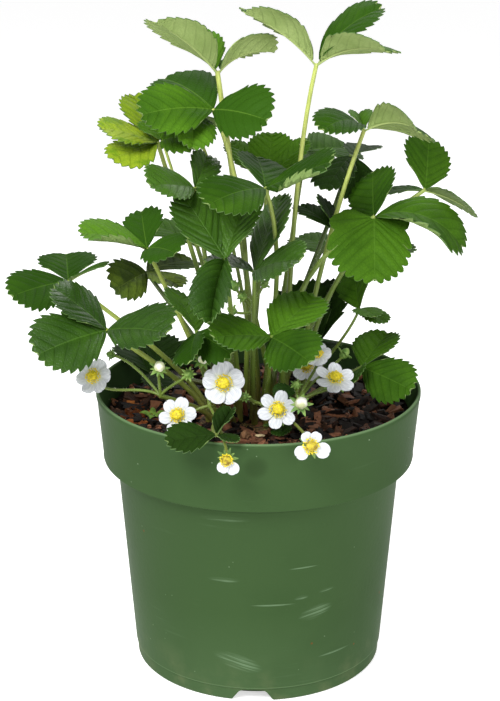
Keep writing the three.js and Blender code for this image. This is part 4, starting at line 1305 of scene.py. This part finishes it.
def flat_blade(name, across_count, along_count, half_width, notch=0.0):
    """A sheet from (0, 0) to (1, 0) whose half width follows a rule, finest at its tip."""
    bpy.ops.object.select_all(action="DESELECT")
    bpy.ops.mesh.primitive_grid_add(
        x_subdivisions=along_count, y_subdivisions=across_count, size=1, calc_uvs=True)
    sheet = bpy.context.object
    sheet.name = name
    sheet.data.uv_layers[0].name = "veins"
    for vertex in sheet.data.vertices:
        along = math.sin((vertex.co.x + 0.5) * math.pi / 2)
        share = vertex.co.y * 2
        end = notch * max(0, along - 0.8) * 5 * (1 - min(1, abs(share) * 1.6))
        vertex.co = (along - end, half_width(along) * share, 0)
    return sheet


def petal_width(along):
    """A round petal on a short claw."""
    if along < 0.55:
        return 0.13 + 0.38 * math.sin(math.pi / 2 * along / 0.55) ** 1.1
    return 0.08 + 0.43 * math.sqrt(max(0, 1 - ((along - 0.55) / 0.45) ** 2))


def sepal_width(along):
    """A narrow, pointed sepal."""
    return 0.012 + 0.2 * math.sin(math.pi * (0.25 + 0.75 * along)) ** 0.8 * (1 - along * 0.3)


flat_petal = flat_blade("flat_petal", 10, 12, petal_width, 0.05)
flat_sepal = flat_blade("flat_sepal", 4, 7, sepal_width)
bpy.ops.object.select_all(action="DESELECT")
bpy.ops.mesh.primitive_ico_sphere_add(subdivisions=1, radius=1)
seed_shape = bpy.context.object
seed_shape.name = "seed_shape"
print("petal:", len(flat_petal.data.vertices), "points")

# %% Flower finishes
petal_finish, start, shader = new_finish("white_petal", 0.6)
shader.inputs["Specular IOR Level"].default_value = 0.2
share, across, _ = start.parts(start.node("ShaderNodeUVMap", {"uv_map": "veins"}))
lines = start.grain(start.node("ShaderNodeCombineXYZ", {}, {0: share * 2, 1: across * 26}), 1, 2)
white = start.mix(tone(208, 210, 214), tone(160, 165, 172), lines.rise(0.35, 0.65) * 0.8)
white = start.mix(white, tone(166, 171, 178), share.rise(0.72, 1.0) * 0.5)
white = start.mix(white, tone(200, 206, 150), share.fall(0.05, 0.3) * 0.7)
# light that comes through the thin petals
shader.inputs["Emission Color"].default_value = tone(225, 228, 232)
shader.inputs["Emission Strength"].default_value = 0.08
feed(shader, Base_Color=white, Normal=relief(start, lines, 0.0001))


def bead_finish(name, dark, light, scale):
    """Small grains of one colour, darker in the gaps."""
    finish, start, shader = new_finish(name, 0.6)
    cloud = start.grain(start.places(), scale, 2)
    feed(shader, Base_Color=start.mix(dark, light, cloud.rise(0.35, 0.65)))
    return finish


dome_finish = bead_finish("style_yellow", tone(180, 164, 14), tone(222, 204, 34), 900)
anther_finish = bead_finish("anther_yellow", tone(204, 182, 12), tone(232, 210, 40), 900)
old_dome_finish = bead_finish("faded_dome", tone(132, 108, 26), tone(196, 180, 44), 500)
sepal_finish = bead_finish("sepal_green", tone(84, 122, 46), tone(130, 160, 76), 300)
old_sepal_finish = bead_finish("sepal_dark", tone(62, 92, 34), tone(104, 132, 56), 300)
bud_finish = bead_finish("bud_white", tone(196, 202, 150), tone(236, 236, 226), 260)

# %% Helpers for the parts of a flower
# the small beads of a centre: how many, the turn from one to the next on the dome, and the height
# of the dome's foot above the middle of the flower
STYLES = 70
ANTHERS = 40
GOLDEN_ANGLE = 2.39996
EYE_FOOT = 0.75


def flower_frame(at, face):
    """A matrix that puts a flower drawn on the level, facing up, where it belongs."""
    facing = direction(*face)
    side = UP.cross(facing).normalized()
    top = facing.cross(side)
    turn = Matrix((side, top, facing)).transposed().to_4x4()
    return Matrix.Translation(Vector(at) * MM) @ turn


def bent_blade(flat, length, frame_of, turn, root, lift, rule, twist, finish, slim=1.0):
    """A copy of a flat sheet, turned about the flower's middle and bent by a rule."""
    piece = put_in_scene("blade", flat.data.copy())
    spin = Matrix.Rotation(turn, 3, "Z")
    lean = Matrix.Rotation(twist, 3, "X")
    for vertex in piece.data.vertices:
        along, across = vertex.co.x, vertex.co.y * slim
        bent = lean @ Vector((along, across, rule(along, across)))
        place = Vector((root + bent.x * length, bent.y * length, lift + bent.z * length))
        vertex.co = frame_of @ ((spin @ place) * MM)
    piece.data.materials.clear()
    piece.data.materials.append(finish)
    return piece


def thicken(piece, thickness):
    """Gives a sheet its thickness, in millimetres, and smooths it."""
    use_modifier(piece, "SOLIDIFY", thickness=thickness * MM, offset=0)
    smooth(piece, 60)


def petals_of(head):
    """The petals of a flower, each leaning over the next one like a tile.

    A fading flower has a list of the petals left on it: the angle and the length of each.
    """
    frame_of = flower_frame(head["at"], head["face"])
    radius = head["radius"]
    count, slim = head.get("petals", (5, 1.12))
    ring = [((number + 0.25) * 360 / count + rng.uniform(-4, 4), rng.uniform(0.8, 0.86))
            for number in range(count)]
    if "petals_left" in head:
        ring, slim = head["petals_left"], 0.95
    pieces = []
    for degrees, share in ring:
        ripple = rng.uniform(0, 6)

        def rule(along, across):
            """A shallow cup with a ripple of its own."""
            cup = 0.14 * along - 0.04 - 0.22 * across * across
            return cup + 0.022 * math.sin(8 * along + 6 * across + ripple) * along

        pieces.append(bent_blade(flat_petal, radius * share, frame_of, math.radians(degrees),
                                 radius * 0.18, 0, rule, 0.16, petal_finish, slim))
    piece = one_piece(head["name"] + "_ring", pieces)
    thicken(piece, 0.3)
    return piece


def sprinkled(name, frame_of, beads, finish):
    """Copies of the small bead at (place, size) pairs round a flower's middle."""
    points, faces = [], []
    shape = seed_shape.data
    for place, size in beads:
        first = len(points)
        for vertex in shape.vertices:
            spot = Vector([p + v * s for p, v, s in zip(place, vertex.co, size)])
            points.append(frame_of @ (spot * MM))
        faces += [[first + k for k in polygon.vertices] for polygon in shape.polygons]
    piece = mesh_piece(name, points, faces)
    piece.data.materials.append(finish)
    return piece


def centre_of(head):
    """The dome of styles and the ring of stamens of a flower."""
    frame_of = flower_frame(head["at"], head["face"])
    dome = old_dome_finish if "petals_left" in head else dome_finish
    eye = head["radius"] * (0.42 if "petals_left" in head else 0.38)
    bpy.ops.object.select_all(action="DESELECT")
    bpy.ops.mesh.primitive_uv_sphere_add(segments=20, ring_count=12, radius=1)
    ball = bpy.context.object
    for vertex in ball.data.vertices:
        x, y, z = vertex.co
        reach = eye * 0.72
        height = EYE_FOOT + (z + 1) * 0.5 * reach
        vertex.co = frame_of @ (Vector((x * reach, y * reach, height)) * MM)
    ball.data.materials.append(dome)
    beads = []
    for number in range(STYLES):
        tall = 1 - number / STYLES
        turn = number * GOLDEN_ANGLE
        level = math.sqrt(max(0, 1 - tall * tall))
        reach = eye * 0.74
        beads.append(((reach * level * math.cos(turn), reach * level * math.sin(turn),
                       EYE_FOOT + (0.5 + 0.5 * tall) * reach), (0.22, 0.22, 0.28)))
    styles = sprinkled("styles", frame_of, beads, dome)
    beads = []
    for number in range(ANTHERS):
        turn = number * 2 * math.pi / ANTHERS + rng.uniform(-0.1, 0.1)
        reach = eye * rng.uniform(0.74, 1.14)
        beads.append(((reach * math.cos(turn), reach * math.sin(turn), rng.uniform(1.0, 1.9)),
                      (0.46, 0.42, 0.32)))
    anther_ring = sprinkled("anthers", frame_of, beads, anther_finish)
    piece = one_piece(head["name"] + "_eye", [ball, styles, anther_ring])
    bpy.ops.object.shade_smooth()
    return piece


def star_of(head, reach, lift, rule):
    """Five sepals with five smaller ones between them."""
    frame_of = flower_frame(head["at"], head["face"])
    finish = old_sepal_finish if "petals_left" in head else sepal_finish
    pieces = []
    for number in range(10):
        between = number % 2
        length = reach * (0.8 if between else 1)
        pieces.append(bent_blade(flat_sepal, length, frame_of, number * math.pi / 5, 0.2,
                                 lift - 0.12 * between, rule, 0, finish))
    piece = one_piece("star", pieces)
    thicken(piece, 0.35)
    return piece


def ball_of(head, rings, finish, twist):
    """A bud: a ball turned from rings of (radius, lift), in shares of the radius of the head."""
    radius = head["radius"]
    ball = spun_piece("bud", [(ring * radius, lift * radius) for ring, lift in rings], 18)
    frame_of = flower_frame(head["at"], head["face"])
    for vertex in ball.data.vertices:
        turn = math.atan2(vertex.co.y, vertex.co.x)
        swell = 1 + twist * math.cos(5 * turn + vertex.co.z / MM * 1.2)
        vertex.co = frame_of @ Vector((vertex.co.x * swell, vertex.co.y * swell, vertex.co.z))
    ball.data.materials.append(finish)
    smooth(ball, 80)
    return ball


# %% [markdown]
# ## Five trusses
#
# Strawberry flowers stand on branched stalks called trusses. A truss rises from the crown, forks
# once, and each branch ends in a flower, a white bud that is about to open, or a green bud with
# its sepals still shut. The table repeats the fork and the heads of the solids: where the middle
# of each head is, the way it faces and its radius. Two flowers at the right are turned further up
# than their solids, to keep their petals apart.

# %% Where the heads are
# Petals gives their number and width, where it isn't the usual 5 and 1.12. Petals left is a list
# for a fading flower. A branch may sag below its head or lean aside as it leaves the fork.
TRUSSES = [
    {"name": "truss_left", "foot": ("frontLeft", 235), "fork": (-48, -38, 154), "heads": (
        {"name": "flower_far_left", "kind": "flower", "at": (-81, -30, 161), "face": (-110, 35),
         "radius": 9, "sag": 9, "petals": (6, 1.0)},
        {"name": "bud_white_left", "kind": "white", "at": (-48, -45, 171), "face": (-80, 40),
         "radius": 2.6},
        {"kind": "bud", "at": (-34, -46, 168), "face": (-90, 30), "radius": 2.2},
        {"kind": "bud", "at": (-73, -20, 169), "face": (-160, 20), "radius": 2},
    )},
    {"name": "truss_front_left", "foot": ("frontLeft", 270), "fork": (-24, -50, 153), "heads": (
        {"name": "flower_left", "kind": "flower", "at": (-39, -55, 150), "face": (-100, 35),
         "radius": 9.2, "petals": (6, 0.86)},
        {"name": "flower_old_front", "kind": "flower", "at": (-15, -95, 144), "face": (-95, 0),
         "radius": 7, "petals_left": ((-60, 1.0), (-112, 0.85))},
        {"name": "bud_white_centre", "kind": "white", "at": (-27, -42, 174), "face": (-80, 40),
         "radius": 2.6},
        {"kind": "bud", "at": (-16, -38, 174), "face": (170, 30), "radius": 2.6},
    )},
    {"name": "truss_front", "foot": ("frontRight", 215), "fork": (-2, -42, 152), "heads": (
        {"name": "flower_front", "kind": "flower", "at": (-17, -48, 164), "face": (-90, 25),
         "radius": 10.3, "petals": (5, 1.2)},
        {"name": "flower_middle", "kind": "flower", "at": (9, -55, 153), "face": (-85, 35),
         "radius": 9.8, "petals": (6, 0.8)},
        {"name": "flower_old_right", "kind": "flower", "at": (24, -89, 148), "face": (-85, 20),
         "radius": 8.2, "lean": (18, 7, -12),
         "petals_left": ((115, 0.68), (58, 0.7), (214, 0.86), (-22, 0.95))},
        {"kind": "bud", "at": (-7, -45, 156), "face": (-90, 40), "radius": 1.8},
    )},
    {"name": "truss_right", "foot": ("frontRight", 300), "fork": (19, -44, 153), "heads": (
        {"name": "flower_right_back", "kind": "flower", "at": (29, -26, 171), "face": (-105, 56),
         "radius": 7},
        {"name": "flower_right", "kind": "flower", "at": (37, -39, 163), "face": (-75, 62),
         "radius": 10, "petals": (6, 0.82)},
        {"name": "flower_hidden", "kind": "flower", "at": (24, -12, 160), "face": (-95, 30),
         "radius": 8, "lean": (0, 16, -16)},
        {"name": "bud_white_right", "kind": "white", "at": (20, -60, 158), "face": (-85, 35),
         "radius": 3},
        {"kind": "bud", "at": (18, -50, 164), "face": (-90, 60), "radius": 1.8},
        {"kind": "bud", "at": (43, -10, 166), "face": (20, 50), "radius": 2.6},
    )},
    {"name": "truss_upper", "foot": ("rearRight", 225), "fork": (-2, -13, 188), "heads": (
        {"kind": "bud", "at": (-12, -18, 204), "face": (-160, 60), "radius": 2.6},
        {"kind": "bud", "at": (3, -12, 203), "face": (20, 50), "radius": 2},
        {"kind": "bud", "at": (-8, -16, 198), "face": (-150, 20), "radius": 2.2},
        {"kind": "bud", "at": (-13, -14, 190), "face": (170, 30), "radius": 2.2},
    )},
]
print("heads in the table:", sum(len(row["heads"]) for row in TRUSSES))

# %% Make the trusses
# how far behind the middle of a flower or a white bud its sepals are joined
STAR_LIFT = -1.1
GREEN_BUD = ((0, -1.1), (0.5, -1), (0.82, -0.5), (0.9, 0.1), (0.72, 0.7), (0.36, 1.15), (0, 1.35))
WHITE_BUD = ((0, -0.35), (0.6, -0.3), (0.95, 0.3), (1, 0.7), (0.8, 1.25), (0.45, 1.6), (0, 1.75))
BRANCH_HAIRS = 60


def branch(head, fork, finish):
    """The branch from the fork to the back of a head, with its hairs."""
    facing = direction(*head["face"])
    back = Vector(head["at"])
    if head["kind"] != "bud":
        back += facing * STAR_LIFT
    first = Vector(fork)
    reach = (back - first).length
    lean = Vector(head.get("lean", (0, 0, 0)))
    leave = first + (back - first) * 0.3 + UP * reach * 0.12 + lean
    arrive = back - facing * min(reach * 0.5, 10) - UP * head.get("sag", 0)
    points = (first, leave, arrive, back)
    return [rod(points, 0.75, 0.7, finish, 2), hairs_along(points, 0.7, BRANCH_HAIRS, 0.9)]


def shut_sepal(along, across):
    """A sepal that closes over its bud."""
    return 0.55 * math.sin(along * 2.2) + 0.1 * along - 0.5 * abs(across)


def open_sepal(along, across):
    """A sepal that lies flat behind the petals."""
    return 0.08 * math.sin(along * 3) - 0.6 * abs(across) * 0.3 - 0.05 * along


def make_head(head):
    """The green parts of a head. Petals, centres and white balls are pieces of their own."""
    radius = head["radius"]
    if head["kind"] == "bud":
        ball = ball_of(head, GREEN_BUD, sepal_finish, 0.05)
        return [ball, star_of(head, radius * 1.75, -radius * 0.8, shut_sepal)]
    share = 2 if head["kind"] == "white" else 0.74 if "petals_left" in head else 0.8
    return [star_of(head, radius * share, STAR_LIFT, open_sepal)]


def make_flower(head):
    """The white petals and the yellow centre of an open flower."""
    ring = petals_of(head)
    eye = centre_of(head)
    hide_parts(head["name"] + "_petals")
    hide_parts(head["name"] + "_centre")
    for piece, slot_name in ((ring, "petal"), (eye, "flower_centre")):
        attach(piece, "root")


def make_white_bud(head):
    """The ball of petals that is about to open."""
    ball = ball_of(head, WHITE_BUD, bud_finish, 0.06)
    ball.name = head["name"] + "_ball"
    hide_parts(head["name"])
    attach(ball, "root")


def make_truss(name, foot, fork, heads):
    """One truss with all its green parts, and its flowers and white buds as pieces."""
    finish = STALKS["green"]
    points = stalk_points(stand_on(*foot), Vector(fork), (0, 0), 0.3)
    pieces = [rod(points, 1.7, 1.15, finish), hairs_along(points, 1.2, BRANCH_HAIRS, 1.0)]
    for head in heads:
        pieces += branch(head, fork, finish)
        pieces += make_head(head)
        if head["kind"] == "flower":
            make_flower(head)
        if head["kind"] == "white":
            make_white_bud(head)
    truss = one_piece(name + "_grown", pieces)
    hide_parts(name)
    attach(truss, "root")
    return truss


trusses = [make_truss(**row) for row in TRUSSES]
print("trusses:", len(trusses), "faces:", sum(len(truss.data.polygons) for truss in trusses))

# %% [markdown]
# ## Odd bits on the soil
#
# A few small things catch the eye between the stalks: a green seedling at the left, a dry leaf
# curled to a ball, a pale scrap, the red foot of a torn stalk, and three small dark leaflets that
# have just come out of the crown. They could be left out, but the soil looks swept without them.
# They are made from the same shapes as the rest.

# %% Make the odd bits


def plain_finish(name, colour):
    """One colour, a little uneven."""
    finish, start, shader = new_finish(name, 0.8)
    cloud = start.grain(start.places(), 400, 3)
    shade = (*(part * 0.55 for part in colour[:3]), 1)
    feed(shader, Base_Color=start.mix(shade, colour, cloud.rise(0.35, 0.65)))
    return finish


def arched(along, across):
    """A seed leaf that arches up and over."""
    return 0.5 * math.sin(along * 2.4) - 0.5 * abs(across)


SEED_LEAVES = ((0.2, 6), (1.9, 5), (3.3, 6.5), (4.6, 5), (5.6, 3.5))
weed_finish = plain_finish("seedling_green", tone(122, 158, 58))
weed_frame = flower_frame((-53, -11, 133), (-100, 78))
weed = one_piece("seedling", [
    bent_blade(flat_sepal, length, weed_frame, turn, 0.3, 0, arched, 0, weed_finish, 1.6)
    for turn, length in SEED_LEAVES])
thicken(weed, 0.35)
level = flower_frame((0, 0, 0), (-90, 90))
dry_curls = [((-6.7, -42, 135), (2.6, 2.2, 2.2)), ((-5.2, -43, 134.4), (1.6, 1.4, 1.5))]
dry_ball = sprinkled("dry_ball", level, dry_curls, plain_finish("dry_leaf_brown", tone(122, 84, 50)))
for vertex in dry_ball.data.vertices:
    vertex.co += vertex.normal * noise.noise(vertex.co * 700) * 0.8 * MM
scrap = sprinkled("pale_scrap", level, [((0.6, -41, 134.3), (2.9, 1.5, 0.6))],
                  plain_finish("pale_scrap_beige", tone(196, 176, 136)))
stump_line = [Vector(place) for place in (
    (-6.2, -14.6, 132), (-6.4, -15, 138), (-6.9, -15.6, 143), (-7.6, -16.4, 148))]
stump = rod(stump_line, 1.3, 0.9, plain_finish("red_stalk_foot", tone(132, 62, 44)))
stump.name = "red_stalk_foot"
bits = [weed, dry_ball, scrap]
for piece in bits:
    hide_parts("soil")
    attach(piece, "root")
print("odd bits on the soil:", len(bits))

# %% Make the young sprouts
# each sprout: where its stalk ends, and its compass angle, pitch, length and roll
SPROUTS = (((18, -43, 158), -168, 0, 11, -42), ((12, -34, 137), -95, -4, 12, 10),
           ((4, -36, 138), -60, 20, 11, 10))
SPROUT_FOOT = Vector((6.3, -28, LEDGE))
sprouts = []
for place, compass, pitch, length, roll in SPROUTS:
    arch = Arch(Vector(place), compass, pitch, length, roll, 20)
    blade = bent_leaflet(small_leaflet, arch, 0, 20)
    # the shaded top, the dull underside and the dark stalk paint the shade under the plant
    skin_blades(blade, "shaded", "dull")
    points = stalk_points(SPROUT_FOOT, Vector(place), (0, 0), 0.6)
    sprouts += [blade, rod(points, 0.7, 0.5, STALKS["dark"])]
sprout = one_piece("young_sprouts", sprouts)
for piece in (sprout, stump):
    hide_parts("crown")
    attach(piece, "root")
print("young sprouts:", len(SPROUTS))

# %% [markdown]
# ## Finish
#
# The flat leaflets, the petal, the sepal and the bead were patterns to copy from, so they go. The
# box of the dressed plant is written beside the box of the solids, to show how far it reaches
# past them, which is about 2 mm at most.

# %% Put the patterns away and close
for pattern in (wide_leaflet, pleated_leaflet, small_leaflet, heart_leaflet, flat_petal, flat_sepal,
                seed_shape):
    bpy.data.objects.remove(pattern)
dressed_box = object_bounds()
for name, corners in (("solids", solid_box), ("dressed", dressed_box)):
    print(name, [[round(v / MM, 1) for v in corner] for corner in corners])
